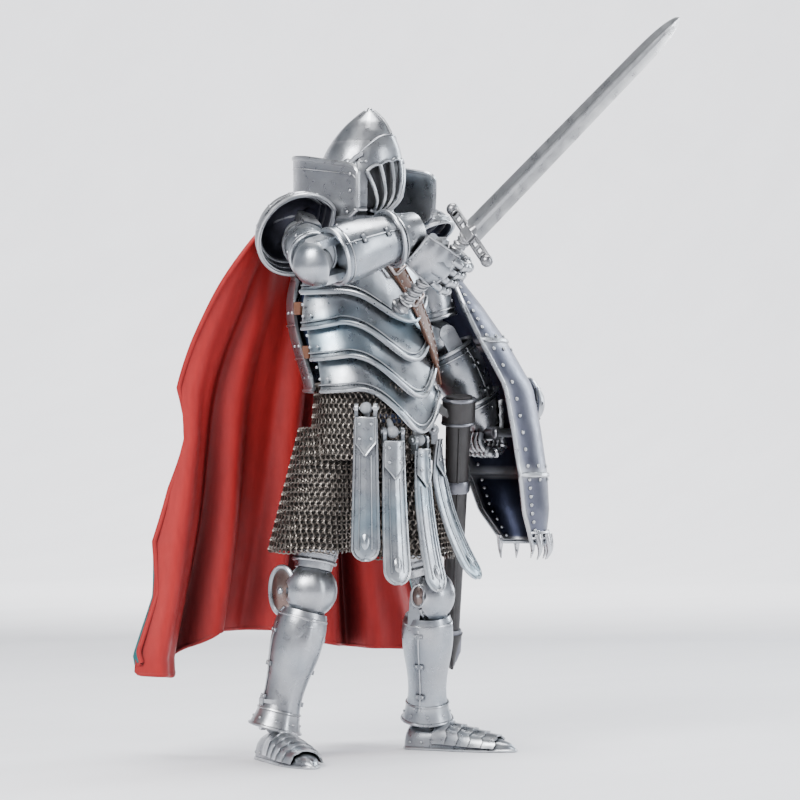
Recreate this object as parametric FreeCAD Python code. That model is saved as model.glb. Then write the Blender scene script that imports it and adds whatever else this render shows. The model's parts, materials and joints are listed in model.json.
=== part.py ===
"""Jointed figure of a knight in plate armour. Millimetres, +Z up.

The figure faces -Y and its left hand is on +X. Everything is laid out on a skeleton of joint
centres, first with the pelvis over the origin, and moved at the end so that the origin is on the
ground under the middle of the whole figure.
"""
import FreeCAD, Part
import math
import os

V = FreeCAD.Vector
SIDES = ("right", "left")
OUTWARD = {"right": V(-1, 0, 0), "left": V(1, 0, 0)}
UP = V(0, 0, 1)
ACROSS = V(1, 0, 0)

# Walls, gaps and fits
PLATE = 1.0                 # wall of a plate or a moulded cover
GAP = 0.4                   # least room between pieces that move past each other
FIT = 0.05                  # radial room of a pin in its hole
GLUE = 0.1                  # room between a cover and the core that it is glued to

# Joint hardware
BALL = 3.6                  # radius of the large joint balls
SMALL_BALL = 2.6            # radius of the ankle and neck balls
PIN = 0.9                   # radius of a cross pin
PEG = 1.7                   # radius of a swivel peg

# Skeleton of the legs
HIP = {"right": V(-9, 0, 78), "left": V(9, 0, 78)}
KNEE = {"right": V(-16.5, 1.5, 40.5), "left": V(16.4, -8, 38.5)}
ANKLE = {"right": V(-22.5, 7, 8.5), "left": V(22, -3.2, 8.5)}
TOE_WAY = {"right": V(-0.437, -0.9, 0), "left": V(0.306, -0.952, 0)}
HEEL_BEHIND = 4.5           # heel behind the ankle
INSTEP = 5.4                # height of the foot under the ankle
SOLE_CUT = 0.5              # what is cut off under the foot to leave its sole flat

# Skeleton of the trunk
WAIST = V(0, -2, 88)
NECK = V(0, 1, 126)
HEAD = V(0, -1, 136)
NECK_WELL = 4.4             # radius of the well round the neck ball
# Height and radius of the helmet's outline
HELMET_PROFILE = ((132.5, 9.6), (137, 10.0), (143.8, 10.2), (149, 8.8), (153, 5.9), (156, 2.8), (157.7, 0.01))

# Skeleton of the arms
SHOULDER = {"right": V(-22, 0, 125.3), "left": V(22, 0, 125.3)}
ELBOW = {"right": V(-34.3, -16.7, 117.6), "left": V(27.3, -2.9, 103.1)}
WRIST = {"right": V(-13.9, -23.8, 124.4), "left": V(36.6, -7.8, 84.8)}
FIST = {"right": V(-4.2, -29.2, 118.1), "left": V(37.6, -8.9, 78.5)}
ARM_RADIUS = 5.1
KNEE_WING = 3.6             # radius of the wing outside the knee
KNEE_DISC = 2.2             # radius of the disc inside the knee
SWORD_WAY = V(0.156, -0.731, 0.665)
GUARD_WAY = V(-0.139, -0.683, -0.717)
SHIELD_CHORD = V(0.419, 0.908, 0)
SHIELD_OUT = V(0.908, -0.419, 0)

# Sizes of the sword, measured along it from the middle of the fist
BLADE_START = 11.2
BLADE_TIP = 81.5
BLADE_WIDTH = 7.0
POMMEL_END = -16.8
GUARD_LENGTH = 21.0

# Trunk outline: height, half width, half depth in front, half depth behind, middle
TRUNK = (
    (76, 16.6, 15.0, 10.5, -3.6),
    (82, 17.3, 15.8, 10.8, -3.4),
    (90, 18.5, 16.6, 11.2, -2.1),
    (96, 19.3, 17.0, 11.5, 0.0),
    (104, 20.0, 17.4, 11.3, 2.3),
    (110, 20.0, 17.2, 10.8, 2.9),
    (117, 18.0, 15.5, 10.3, 2.6),
    (123, 15.0, 12.0, 9.5, 1.8),
    (128, 11.5, 9.5, 9.0, 1.2),
)
# Heights of the lower edges of the trunk plates at the side, near the side and in front
PLATE_EDGE = {
    "breastplate": (112, 112, 105),
    "belly_plate_upper": (103, 104.5, 95.8),
    "belly_plate_middle": (95.6, 96.5, 86.9),
    "belly_plate_lower": (88, 88.5, 78.5),
}
SIDE_SEAM = 1.6             # half of the space between front and back plates

# Strips that hang from the waist: place of each ball, and how far its lower end stands out
TASSET_BALLS = (V(-13.6, -13.8, 84), V(-7.9, -17.2, 78.4), V(1.0, -18.0, 76.5), V(9.8, -15.2, 79))
TASSET_FLARE = (0.6, 3.2, 4.9, 9.9)
TASSET_LENGTH = 36.0
TASSET_WIDTH = (5.2, 6.5)
STRIP_HALF = 0.5            # half the thickness of a strip
BELT_BALL = 1.5
SKIRT_ROOM = 9.4            # the skirt tops stay inside a ball of this radius about the hip
SKIRT_APART = 2.2           # each skirt stops this far from the middle
BELT_PIN = 0.5

# Scabbard
SCABBARD_MOUTH = V(22, -13.5, 87.5)
SCABBARD_TIP = V(37, 1.5, 19.5)
SCABBARD_HANGER = V(17.6, -8.8, 84.5)

# Shield stations: height, middle of the chord, width, depth
SHIELD = (
    (118, 32.3, 0.1, 10, 4),
    (110, 31.2, -0.8, 24, 10),
    (101.5, 32.8, -3.3, 29, 13),
    (90, 36.4, -7.6, 31, 14),
    (79.5, 37.7, -9.1, 31, 14),
    (68, 39.1, -10.8, 29, 13.5),
    (59, 40.4, -12.4, 24, 12),
    (51, 41.8, -14.1, 16, 9),
)
SHIELD_SEAMS = (101.5, 68)
SHIELD_WALL = 1.5

# Cape: height of each level and the plan points of its back face, right to left
CAPE = (
    (126.4, (-24, 12.5), (-13, 16), (0, 17.6), (13, 16), (23, 12.5)),
    (110, (-31, 19.5), (-17, 20), (0, 18.5), (14, 18), (27, 14)),
    (88, (-34, 28), (-20, 26), (0, 21.5), (15, 19.5), (29, 14)),
    (55, (-38, 31), (-20, 30.5), (0, 27), (18, 23), (33, 14)),
    (24, (-45, 33), (-25, 34), (0, 32.5), (20, 24.5), (38, 9)),
)
CAPE_WALL = 1.4


# ---------------------------------------------------------------- small tools

def unit(vector):
    """A copy of a vector with length one."""
    result = V(vector)
    result.normalize()
    return result


def rod(start, end, radius):
    """A round bar from one point to another."""
    return Part.makeCylinder(radius, (end - start).Length, start, end - start)


def ball(centre, radius):
    return Part.makeSphere(radius, centre)


def place(shape, origin, along, side=ACROSS):
    """A shape modelled about its own +Z, moved so that +Z runs along a direction from origin."""
    turn = FreeCAD.Rotation(side, V(0, 0, 0), along, "ZXY")
    moved = shape.copy()
    moved.Placement = FreeCAD.Placement(origin, turn).multiply(moved.Placement)
    return moved


def turned(profile):
    """A solid of revolution about +Z from (height, radius) points on a smooth line."""
    points = [V(radius, 0, height) for height, radius in profile]
    if len(points) > 2:
        curve = Part.BSplineCurve()
        curve.interpolate(points)
        line = curve.toShape()
    else:
        line = Part.makeLine(points[0], points[1])
    low = V(0, 0, profile[0][0])
    high = V(0, 0, profile[-1][0])
    edges = [line, Part.makeLine(points[-1], high), Part.makeLine(high, low), Part.makeLine(low, points[0])]
    face = Part.Face(Part.Wire(edges))
    return face.revolve(V(0, 0, 0), UP, 360)


def sleeve(profile, wall=PLATE):
    """An open tube of revolution with an even wall."""
    inner = [(height, radius - wall) for height, radius in profile]
    inner[0] = (inner[0][0] - 0.01, inner[0][1])
    inner[-1] = (inner[-1][0] + 0.01, inner[-1][1])
    return turned(profile).cut(turned(inner))


def oval(height, half_width, half_front, half_back, middle=0.0, off=0.0):
    """An egg-shaped ring: one half ellipse in front and one behind."""
    points = []
    for step in range(24):
        angle = math.radians(15 * step)
        depth = half_back if math.sin(angle) > 0 else half_front
        x = (half_width + off) * math.cos(angle)
        points.append(V(x, middle + (depth + off) * math.sin(angle), height))
    curve = Part.BSplineCurve()
    curve.interpolate(points, PeriodicFlag=True)
    return Part.Wire(curve.toShape())


def loft(wires):
    return Part.makeLoft(wires, True)


def fuse(*shapes):
    return shapes[0].multiFuse(list(shapes[1:])).removeSplitter()


def prism(points, way):
    """A straight solid from a closed outline of points."""
    return Part.Face(Part.makePolygon(points + [points[0]])).extrude(way)


def beam(start, way, length, side, width, depth):
    """A square bar along a direction, centred on the line through its start."""
    bar = Part.makeBox(width, depth, length, V(-width / 2, -depth / 2, 0))
    return place(bar, start, way, side)


def square_to(way, axis):
    """The part of a direction that is square to an axis."""
    return unit(way - axis * way.dot(axis))


def fork(centre, pin_way, limb_way, ball_radius, reach, ear=2.2, wall=1.5):
    """Two ears beside a ball with the pin through them, joined to a disc at their root."""
    inner = ball_radius + GAP
    outer = inner + wall
    parts = [rod(centre - pin_way * outer, centre + pin_way * outer, PIN)]
    for way in (pin_way, pin_way * -1):
        parts.append(rod(centre + way * (inner - 0.5), centre + way * outer, ear))
        arm = Part.makeBox(wall + 0.5, 2 * ear, reach, V(inner - 0.5, -ear, 0))
        parts.append(place(arm, centre, limb_way, way))
    parts.append(rod(centre + limb_way * (reach - wall), centre + limb_way * reach, outer))
    pin = parts.pop(0)
    room = place(ball(V(0, 0, 0), inner), centre, pin_way, limb_way)
    return fuse(fuse(*parts).cut(room), pin)


def joint_ball(centre, radius, pin_way, peg_way, peg_length, peg_radius=PEG):
    """A ball with a swivel peg on one side and a hole for a cross pin."""
    peg = rod(centre, centre + peg_way * (radius + peg_length), peg_radius)
    return fuse(ball(centre, radius), peg).cut(hole(centre, pin_way, PIN, radius + 1))


def hole(centre, way, radius, reach):
    """The running hole of a pin that passes through a centre."""
    return rod(centre - way * reach, centre + way * reach, radius + FIT)


# ---------------------------------------------------------------- trunk

def trunk_at(height):
    """Half width, half depths and middle of the trunk at a height."""
    for low, high in zip(TRUNK, TRUNK[1:]):
        if low[0] <= height <= high[0]:
            share = (height - low[0]) / (high[0] - low[0])
            return [a + (b - a) * share for a, b in zip(low, high)][1:]
    raise ValueError(height)


def trunk_body(low, high, low_off, high_off, levels=5):
    """The trunk between two heights, grown or shrunk by an amount that changes evenly."""
    wires = []
    for step in range(levels):
        share = step / (levels - 1)
        height = low + (high - low) * share
        off = low_off + (high_off - low_off) * share
        wires.append(oval(height, *trunk_at(height), off))
    return loft(wires)


def front_half(seam):
    """The space in front of the side seams, following the lean of the trunk."""
    line = [V(-40, row[4] - seam, row[0]) for row in TRUNK]
    return prism(line + [V(-40, -60, TRUNK[-1][0]), V(-40, -60, TRUNK[0][0])], V(80, 0, 0))


def above_edge(side, near_side, front):
    """The space over a plate's curved lower edge, as seen from the front."""
    reach = 21.0
    heights = ((-1, side), (-0.8, near_side), (-0.4, (near_side + front) / 2), (0, front),
               (0.4, (near_side + front) / 2), (0.8, near_side), (1, side))
    curve = Part.BSplineCurve()
    curve.interpolate([V(reach * share, -40, height) for share, height in heights])
    top = [V(reach, -40, 135), V(-reach, -40, 135)]
    edges = [curve.toShape(), Part.makeLine(V(reach, -40, side), top[0]), Part.makeLine(*top)]
    edges.append(Part.makeLine(top[1], V(-reach, -40, side)))
    return Part.Face(Part.Wire(edges)).extrude(V(0, 80, 0))


def trunk_plate(name, top, tuck):
    """One belly plate: its top is tucked in under the plate above it."""
    low = min(PLATE_EDGE[name]) - 0.5
    outer = trunk_body(low, top, 0, -tuck)
    inner = trunk_body(low, top, -PLATE, -tuck - PLATE)
    return outer.cut(inner).common(front_half(SIDE_SEAM)).common(above_edge(*PLATE_EDGE[name]))


def breastplate():
    """The chest plate, with round cuts for the arms and the neck."""
    plate = trunk_body(104, 126, 0, 0, 7).cut(trunk_body(104, 126, -PLATE, -PLATE, 7))
    plate = plate.common(front_half(SIDE_SEAM)).common(above_edge(*PLATE_EDGE["breastplate"]))
    for side in SIDES:
        plate = plate.cut(rod(SHOULDER[side] - ACROSS * 14, SHOULDER[side] + ACROSS * 14, 10.2))
    return plate


def backplate():
    shell = trunk_body(88, 126, 0, 0, 9).cut(trunk_body(88, 126, -PLATE, -PLATE, 9))
    shell = shell.cut(front_half(-SIDE_SEAM))
    for side in SIDES:
        shell = shell.cut(rod(SHOULDER[side] - ACROSS * 14, SHOULDER[side] + ACROSS * 14, 10.2))
    return shell


def side_straps():
    """Two short straps on each flank that close the gap between front and back."""
    straps = []
    for height in (97.5, 108):
        half_width, _, _, middle = trunk_at(height)
        for way in (-1, 1):
            block = Part.makeBox(0.9, 2 * SIDE_SEAM - 1.2, 3, V(-0.45, -SIDE_SEAM + 0.6, 0))
            block.translate(V(way * (half_width - 0.6), middle, height - 1.5))
            straps.append(block)
    return Part.makeCompound(straps)


def shoulder_bar(off):
    """The cross bar that carries both shoulder swivels."""
    height = SHOULDER["left"].z
    return rod(V(-16.2, 0, height), V(16.2, 0, height), 3.4 + off)


def torso_core():
    """The undersuit: a closed body with the shoulder bar, neck ears and waist ears."""
    body = trunk_body(95, 127.8, -3.8, -2.6, 11)
    body = fuse(body, shoulder_bar(0)).cut(ball(NECK, SMALL_BALL + GAP))
    body = body.cut(rod(NECK, NECK + UP * 9, NECK_WELL))
    for side in SIDES:
        way = OUTWARD[side]
        bore = rod(SHOULDER[side] - way * 13, SHOULDER[side], PEG + FIT)
        body = body.cut(bore)
    neck_pin = rod(NECK - ACROSS * (NECK_WELL + 1.5), NECK + ACROSS * (NECK_WELL + 1.5), PIN)
    yoke = fork(WAIST, ACROSS, UP, BALL, 8.5, 2.8, 2.0)
    return fuse(body, neck_pin, yoke)


def waist_joint():
    return joint_ball(WAIST, BALL, ACROSS, UP * -1, 3.4, 2.4)


def gorget():
    """Rings of the throat defence, each tucked into the one below."""
    ring = sleeve(((125.2, 10.6), (127.4, 9.8), (129.6, 8.6), (130.6, 8.2)), 0.9)
    ring.translate(V(0, 0.6, 0))
    outside = trunk_body(123, 128, GLUE, GLUE, 3)
    return ring.cut(outside).cut(shoulder_bar(GLUE))


def neck_guard():
    """The standing collar: round behind, straight at the sides and open in front."""
    def outline(off, height):
        arc = Part.Ellipse(V(0, 15 + 1.5 + off, height), V(-14.5 - off, 1.5, height), V(0, 1.5, height))
        back = arc.toShape(-math.pi / 2, math.pi / 2)
        left = back.Vertexes[0].Point
        right = back.Vertexes[-1].Point
        return back, left, right

    def block(off, low, high):
        back, first, last = outline(off, low)
        ends = [V(p.x - math.copysign(1.0, p.x), -8.5, low) for p in (first, last)]
        edges = [back, Part.makeLine(last, ends[1]), Part.makeLine(ends[1], ends[0])]
        edges.append(Part.makeLine(ends[0], first))
        return Part.Face(Part.Wire(edges)).extrude(V(0, 0, high - low))

    wall = block(0, 129.5, 146).cut(block(-1.2, 129, 147))
    top = [V(-20, 20, 146), V(-20, 5, 145), V(-20, -9, 140), V(-20, -9, 150), V(-20, 20, 150)]
    wall = wall.cut(prism(top, V(40, 0, 0)))
    wall = wall.cut(Part.makeBox(22, 6, 30, V(-11, -10, 125)))
    foot = block(-0.2, 128.8, 129.6).cut(block(-1.0, 126, 130))
    foot = foot.cut(Part.makeBox(60, 30, 10, V(-30, -32, 122)))
    return fuse(wall, foot)


def baldric():
    """The shoulder belt: a band that follows the chest from the right of the neck to the left hip."""
    band = trunk_body(90, 124.9, 1.3, 1.3, 9).cut(trunk_body(90, 124.9, 0.45, 0.45, 9))
    corners = [V(-8.5, -40, 126), V(-3.5, -40, 126), V(17.5, -40, 91), V(13, -40, 90)]
    return band.common(prism(corners, V(0, 38, 0)))


def hip_block():
    """The pelvis: a narrow block between the thighs under a wider floor."""
    floor = trunk_body(80.6, 83, -2.6, -2.6, 2)
    block = Part.makeBox(7.6, 9, 10, V(-3.8, -4.5, 73.5))
    uprights = [edge for edge in block.Edges if abs(edge.tangentAt(edge.FirstParameter).z) > 0.9]
    block = block.makeFillet(2, uprights)
    body = fuse(floor, block)
    spine = Part.makeBox(7.6, 60, 40, V(-3.8, -30, 60))
    for side in SIDES:
        body = body.cut(ball(HIP[side], SKIRT_ROOM + GAP).cut(spine))
        body = body.cut(ball(HIP[side], BALL + GAP))
    socket = rod(V(WAIST.x, WAIST.y, 79.9), WAIST - UP * 5, 4.0)
    body = fuse(body, socket).cut(rod(WAIST - UP * 7.1, WAIST, 2.4 + FIT)).cut(ball(WAIST, BALL + GAP))
    for side in SIDES:
        body = body.cut(rod(HIP[side], HIP[side] - OUTWARD[side] * 8.6, PEG + FIT))
    return body


def belt_pegs():
    """Balls on short stems: four for the tassets and one for the scabbard."""
    pegs = []
    floor = hip_block()
    for centre in TASSET_BALLS + (SCABBARD_HANGER,):
        root = V(centre.x * 0.78, (centre.y + 3.4) * 0.78 - 3.4, 82)
        peg = fuse(ball(centre, BELT_BALL), rod(centre, root, 0.8)).cut(floor)
        pegs.append(peg.cut(hole(centre, tangent_at(centre), BELT_PIN, BELT_BALL + 1)))
    return Part.makeCompound(pegs)


def tangent_at(centre):
    """The level direction along the waist at a ball."""
    outward = unit(V(centre.x, centre.y - WAIST.y + 2, 0))
    return V(-outward.y, outward.x, 0)


# ---------------------------------------------------------------- strips and scabbard

def tasset(index):
    """A long strip that hangs from a ball by two ears and a pin, and curves out at its foot."""
    centre = TASSET_BALLS[index]
    way = tangent_at(centre)
    outward = V(way.y, -way.x, 0)
    wires = []
    for share in (0, 0.3, 0.6, 0.85, 1.0):
        drop = 2.6 + (TASSET_LENGTH - 2.6) * share
        width = TASSET_WIDTH[0] + (TASSET_WIDTH[1] - TASSET_WIDTH[0]) * share
        if share == 1.0:
            width = width * 0.6
        middle = centre + outward * (0.9 + TASSET_FLARE[index] * share ** 2) - UP * drop
        corners = []
        for a, b in ((-1, -1), (1, -1), (1, 1), (-1, 1)):
            corners.append(middle + way * (width / 2 * a) + outward * (STRIP_HALF * b))
        wires.append(Part.makePolygon(corners + [corners[0]]))
    strip = Part.makeLoft(wires, True, True)
    ears = [rod(centre - way * 2.7, centre + way * 2.7, BELT_PIN)]
    for end in (-1, 1):
        ears.append(rod(centre + way * (1.85 * end), centre + way * (2.7 * end), 1.2))
        arm = Part.makeBox(0.85, 1.6, 3.4, V(1.85, -0.8, 0))
        ears.append(place(arm, centre, UP * -1, way * end))
    return fuse(strip, *ears)


def scabbard_frame():
    """Directions of the scabbard: down its length and across its width."""
    along = unit(SCABBARD_TIP - SCABBARD_MOUTH)
    wide = unit(along.cross(V(0.64, 0.77, 0)))
    return along, wide


def scabbard():
    """The sheath, an oval tapering tube that is closed at its tip and open at its mouth."""
    length = (SCABBARD_TIP - SCABBARD_MOUTH).Length
    outer = loft([oval(z, 3.3 - 1.5 * z / length, 1.7, 1.7) for z in (0, length / 2, length - 3)])
    inner = loft([oval(z, 2.6 - 1.0 * z / length, 1.0, 1.0) for z in (-0.1, length / 2)])
    along, wide = scabbard_frame()
    return place(outer.cut(inner), SCABBARD_MOUTH, along, wide)


def scabbard_fittings():
    """The locket at the mouth with its hanger eye, and the chape on the tip."""
    length = (SCABBARD_TIP - SCABBARD_MOUTH).Length
    along, wide = scabbard_frame()
    locket = loft([oval(z, 4.2, 2.6, 2.6) for z in (1, 7)])
    locket = locket.cut(loft([oval(z, 3.3 + GLUE, 1.8, 1.8) for z in (0, 8)]))
    tip = loft([oval(z, 2.9 - 0.25 * (z - length + 9), 2.6, 2.6) for z in (length - 9, length - 4.5, length)])
    tip = tip.cut(loft([oval(z, 2.3, 1.8, 1.8) for z in (length - 10, length - 2.9)]))
    parts = [place(locket, SCABBARD_MOUTH, along, wide), place(tip, SCABBARD_MOUTH, along, wide)]
    way = tangent_at(SCABBARD_HANGER)
    eye = [rod(SCABBARD_HANGER - way * 2.7, SCABBARD_HANGER + way * 2.7, BELT_PIN)]
    outward = V(way.y, -way.x, 0)
    for end in (-1, 1):
        eye.append(rod(SCABBARD_HANGER + way * (1.85 * end), SCABBARD_HANGER + way * (2.7 * end), 1.2))
        arm = Part.makeBox(0.85, 1.8, 3.4, V(1.85, -0.9, 0))
        eye.append(place(arm, SCABBARD_HANGER, unit(outward - UP * 0.6), way * end))
    core = place(loft([oval(z, 3.3 + GLUE, 1.8, 1.8) for z in (-2, 9)]), SCABBARD_MOUTH, along, wide)
    return Part.makeCompound([fuse(parts[0], *eye).cut(core), parts[1]])


# ---------------------------------------------------------------- head

def neck_joint():
    """A ball pinned in the chest with a post that the head turns on."""
    post = rod(NECK, V(HEAD.x, HEAD.y, 141), 2.0)
    return fuse(ball(NECK, SMALL_BALL), post).cut(hole(NECK, ACROSS, PIN, 6))


def post_way():
    return unit(V(HEAD.x, HEAD.y, 141) - NECK)


def helmet_outline(off):
    return turned([(z, max(radius + off, 0.01)) for z, radius in HELMET_PROFILE])


def helmet():
    """The pointed skull of the helmet, open below and in front of the visor."""
    inner = turned([(z - (1.3 if z > 150 else 0), max(radius - 1.2, 0.01)) for z, radius in HELMET_PROFILE])
    inner = fuse(inner, Part.makeCylinder(8.4, 2, V(0, 0, 131.5)))
    skull = helmet_outline(0).cut(inner)
    window = Part.makeBox(15.6, 12, 17.4, V(-7.8, -13, 131.4))
    return skull.cut(window)


def visor():
    """The face plate, which carries a row of breathing slots that run together at the chin."""
    shell = helmet_outline(1.1).cut(helmet_outline(0.12))
    plate = shell.common(Part.makeBox(17.6, 13, 18, V(-8.8, -14, 132.6)))
    for step in range(-2, 4):
        angle = math.radians(11 * step + 4)
        slot = Part.makeBox(0.7, 6, 6.5, V(-0.35, -13, 4.5))
        slot.rotate(V(0, 0, 0), V(0, 1, 0), math.degrees(angle))
        slot.translate(V(1.0, 0, 131.5))
        plate = plate.cut(slot)
    return plate


def head_core():
    """The plug inside the helmet that turns on the neck post."""
    core = turned(((134, 6.6), (138, 7.4), (144, 7.4), (148.5, 5.4)))
    return core.cut(rod(NECK, V(HEAD.x, HEAD.y, 141) + post_way() * 0.3, 2.0 + FIT))


# ---------------------------------------------------------------- legs

def knee_axis(side):
    """The knee turns about the level line across its foot."""
    way = TOE_WAY[side]
    return unit(V(-way.y, way.x, 0))


def hip_joint(side):
    return joint_ball(HIP[side], BALL, V(0, 1, 0), OUTWARD[side] * -1, 4.6)


def thigh(side):
    """The cuisse: ears at the hip, a closed thigh and a knee eye with its pin hole."""
    down = unit(KNEE[side] - HIP[side])
    length = (KNEE[side] - HIP[side]).Length
    toe = TOE_WAY[side]
    limb = turned(((7.5, 4.6), (12, 5.4), (20, 5.7), (27, 5.2), (length - 4.5, 4.4)))
    limb = place(limb, HIP[side], down, ACROSS)
    eye = rod(KNEE[side] - knee_axis(side) * 1.4, KNEE[side] + knee_axis(side) * 1.4, 3.0)
    rise = square_to(down * -1, knee_axis(side))
    web = beam(KNEE[side] - toe * 1.5, rise, 8.4, knee_axis(side), 2.8, 3.0)
    room = ball(KNEE[side], 6.4 + GAP)
    limb = limb.cut(room)
    hip_drop = square_to(down, V(0, 1, 0))
    leg = fuse(fork(HIP[side], V(0, 1, 0), hip_drop, BALL, 9.0), limb, eye, web)
    return leg.cut(hole(KNEE[side], knee_axis(side), PIN, 5))


def mail_skirt(side):
    """A short tube of mail that hangs round the thigh."""
    centre_low = {"right": V(-14.8, 2.1, 50), "left": V(12.8, -4.5, 48)}[side]
    radius = {"right": 10.3, "left": 11.2}[side]
    out = OUTWARD[side].x

    def tube(off, low_extra):
        wires = []
        for share in (-0.06, 0, 0.35, 0.7, 1.0):
            centre = HIP[side] + (centre_low - HIP[side]) * share
            height = 84 + (centre_low.z - low_extra - 84) * share
            size = 7.8 + (radius - 7.8) * max(share, 0) + off
            if share < 0:
                size = 6.6 + off
            wires.append(oval(height, size, size, size, centre.y))
            wires[-1].translate(V(centre.x, 0, 0))
        return loft(wires)

    skirt = tube(0, 0).cut(tube(-1.0, 0.5))
    inner_side = Part.makeBox(40, 60, 40, V(0 if out < 0 else -40, -30, 48))
    skirt = skirt.cut(inner_side.translated(V(out * SKIRT_APART, 0, 0)))
    inner_top = Part.makeBox(10.4 * 2, 60, 32, V(-10.4, -30, 69.5))
    skirt = skirt.cut(inner_top)
    ring = ball(HIP[side], SKIRT_ROOM).common(Part.makeBox(60, 60, 60, V(-30, -30, 78)))
    skirt = skirt.cut(Part.makeBox(80, 80, 30, V(-40, -40, 78)).cut(ring))
    if side == "right":
        skirt = skirt.cut(Part.makeBox(8, 14, 40, V(-9.6, -12, 40)))
    return skirt


def knee_guard(side):
    """The knee cop: half a ball with two arms on the knee pin."""
    toe = TOE_WAY[side]
    centre = KNEE[side]
    dome = ball(centre, 6.3).cut(ball(centre, 5.3))
    keep = place(Part.makeBox(16, 16, 9, V(-8, -8, 0.5)), centre, toe, knee_axis(side))
    dome = dome.common(keep)
    parts = [dome]
    for way in (-1, 1):
        across = knee_axis(side) * way
        parts.append(rod(centre + across * 4.5, centre + across * 5.5, 2.0))
        arm = Part.makeBox(1.0, 4, 2.9, V(4.5, -2, 0))
        parts.append(place(arm, centre, toe, across))
        outer_side = across.dot(OUTWARD[side]) > 0
        wing_radius = KNEE_WING if outer_side else KNEE_DISC
        parts.append(rod(centre + across * 5.5, centre + across * 6.2, wing_radius))
    return fuse(*parts).cut(hole(centre, knee_axis(side), PIN, 7))


def shin(side):
    """The greave: knee ears, a calf that swells and a bell over the ankle."""
    up = unit(KNEE[side] - ANKLE[side])
    length = (KNEE[side] - ANKLE[side]).Length
    axis = knee_axis(side)
    calf = turned(((5.2, 4.7), (10, 4.6), (16, 5.6), (21, 6.3), (length - 5.0, 5.5)))
    calf = place(calf, ANKLE[side], up, ACROSS).cut(ball(KNEE[side], 6.4 + GAP))
    bell = place(sleeve(((-0.6, 6.1), (2.4, 5.3), (5.6, 4.7)), 0.8), ANKLE[side], up, ACROSS)
    ears = []
    drop = square_to(up * -1, axis)
    for way in (-1, 1):
        across = axis * way
        ears.append(rod(KNEE[side] + across * 1.75, KNEE[side] + across * 4.1, 3.0))
        ears.append(beam(KNEE[side] + across * 2.9 - TOE_WAY[side] * 1.5, drop, 8.6, axis, 2.3, 3.0))
    pin = rod(KNEE[side] - axis * 6.2, KNEE[side] + axis * 6.2, PIN)
    lower_fork = fork(ANKLE[side], axis, square_to(up, axis), SMALL_BALL, 6.5, 1.2, 1.0)
    return fuse(calf, bell, *ears, pin, lower_fork)


def ankle_joint(side):
    """A ball with two crossed pin holes between the greave and the foot."""
    cross = ball(ANKLE[side], SMALL_BALL)
    cross = cross.cut(hole(ANKLE[side], knee_axis(side), PIN, 4))
    lower = ANKLE[side] - UP * 1.5
    stub = rod(lower, ANKLE[side] - UP * 5.6, 1.2)
    return fuse(cross, stub)


def foot(side):
    """The sabaton: a flat sole, a high instep and a pointed toe, with ears for the ankle pin."""
    toe = TOE_WAY[side]
    across = knee_axis(side)
    base = V(ANKLE[side].x, ANKLE[side].y, 0)
    # Distance ahead of the ankle, half width, height
    sections = ((-HEEL_BEHIND, 2.4, 4.8), (-2, 3.9, INSTEP), (4, 4.0, INSTEP), (11, 4.2, 4.9), (18, 3.9, 3.6),
                (22.5, 1.2, 1.8))
    wires = []
    for ahead, half, height in sections:
        middle = base + toe * ahead
        low = middle - UP * SOLE_CUT
        top = middle + UP * height
        corners = [low - across * half, low + across * half, top + across * (half * 0.75),
                   top - across * (half * 0.75)]
        wires.append(Part.makePolygon(corners + [corners[0]]))
    body = Part.makeLoft(wires, True, True).cut(Part.makeBox(200, 200, SOLE_CUT, V(-100, -100, -SOLE_CUT)))
    return body.cut(ball(ANKLE[side], SMALL_BALL + GAP)).cut(foot_bore(side))


def foot_bore(side):
    """The swivel hole under the ankle."""
    return rod(ANKLE[side] - UP * 1.5, ANKLE[side] - UP * 5.9, 1.2 + FIT)


# ---------------------------------------------------------------- arms

def arm_way(side):
    return unit(ELBOW[side] - SHOULDER[side])


def forearm_way(side):
    return unit(WRIST[side] - ELBOW[side])


def lift_axis(side):
    """The shoulder lifts about a line square to the arm and to the swing axis."""
    return unit(arm_way(side).cross(ACROSS))


def elbow_axis(side):
    return unit(arm_way(side).cross(forearm_way(side)))


def shoulder_joint(side):
    return joint_ball(SHOULDER[side], BALL, lift_axis(side), OUTWARD[side] * -1, 8.5)


def upper_arm(side):
    """The rerebrace: ears at the shoulder and a bored end for the elbow swivel."""
    way = arm_way(side)
    length = (ELBOW[side] - SHOULDER[side]).Length
    limb = turned(((6.5, 4.6), (10, ARM_RADIUS), (13, ARM_RADIUS), (length - 4.6, 4.5)))
    limb = place(limb, SHOULDER[side], way).cut(ball(ELBOW[side], 5.9))
    arm = fuse(fork(SHOULDER[side], lift_axis(side), way, BALL, 8.0), limb)
    return arm.cut(rod(ELBOW[side], ELBOW[side] - way * 9.3, PEG + FIT))


def elbow_joint(side):
    return joint_ball(ELBOW[side], BALL, elbow_axis(side), arm_way(side) * -1, 5.2)


def forearm(side):
    """The vambrace: ears on the elbow pin and a bored end for the wrist."""
    way = forearm_way(side)
    length = (WRIST[side] - ELBOW[side]).Length
    limb = turned(((6.4, 6.3), (9, 6.6), (14, 6.2), (length - 2.0, 5.2)))
    limb = place(limb, ELBOW[side], way)
    bent_room = rod(ELBOW[side] - arm_way(side) * 4.2, ELBOW[side] - arm_way(side) * 20, ARM_RADIUS + GAP)
    arm = fuse(fork(ELBOW[side], elbow_axis(side), way, BALL, 8.0, 2.2, 1.4), limb).cut(bent_room)
    return arm.cut(rod(WRIST[side] - way * 8.2, WRIST[side], 1.4 + FIT))


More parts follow.
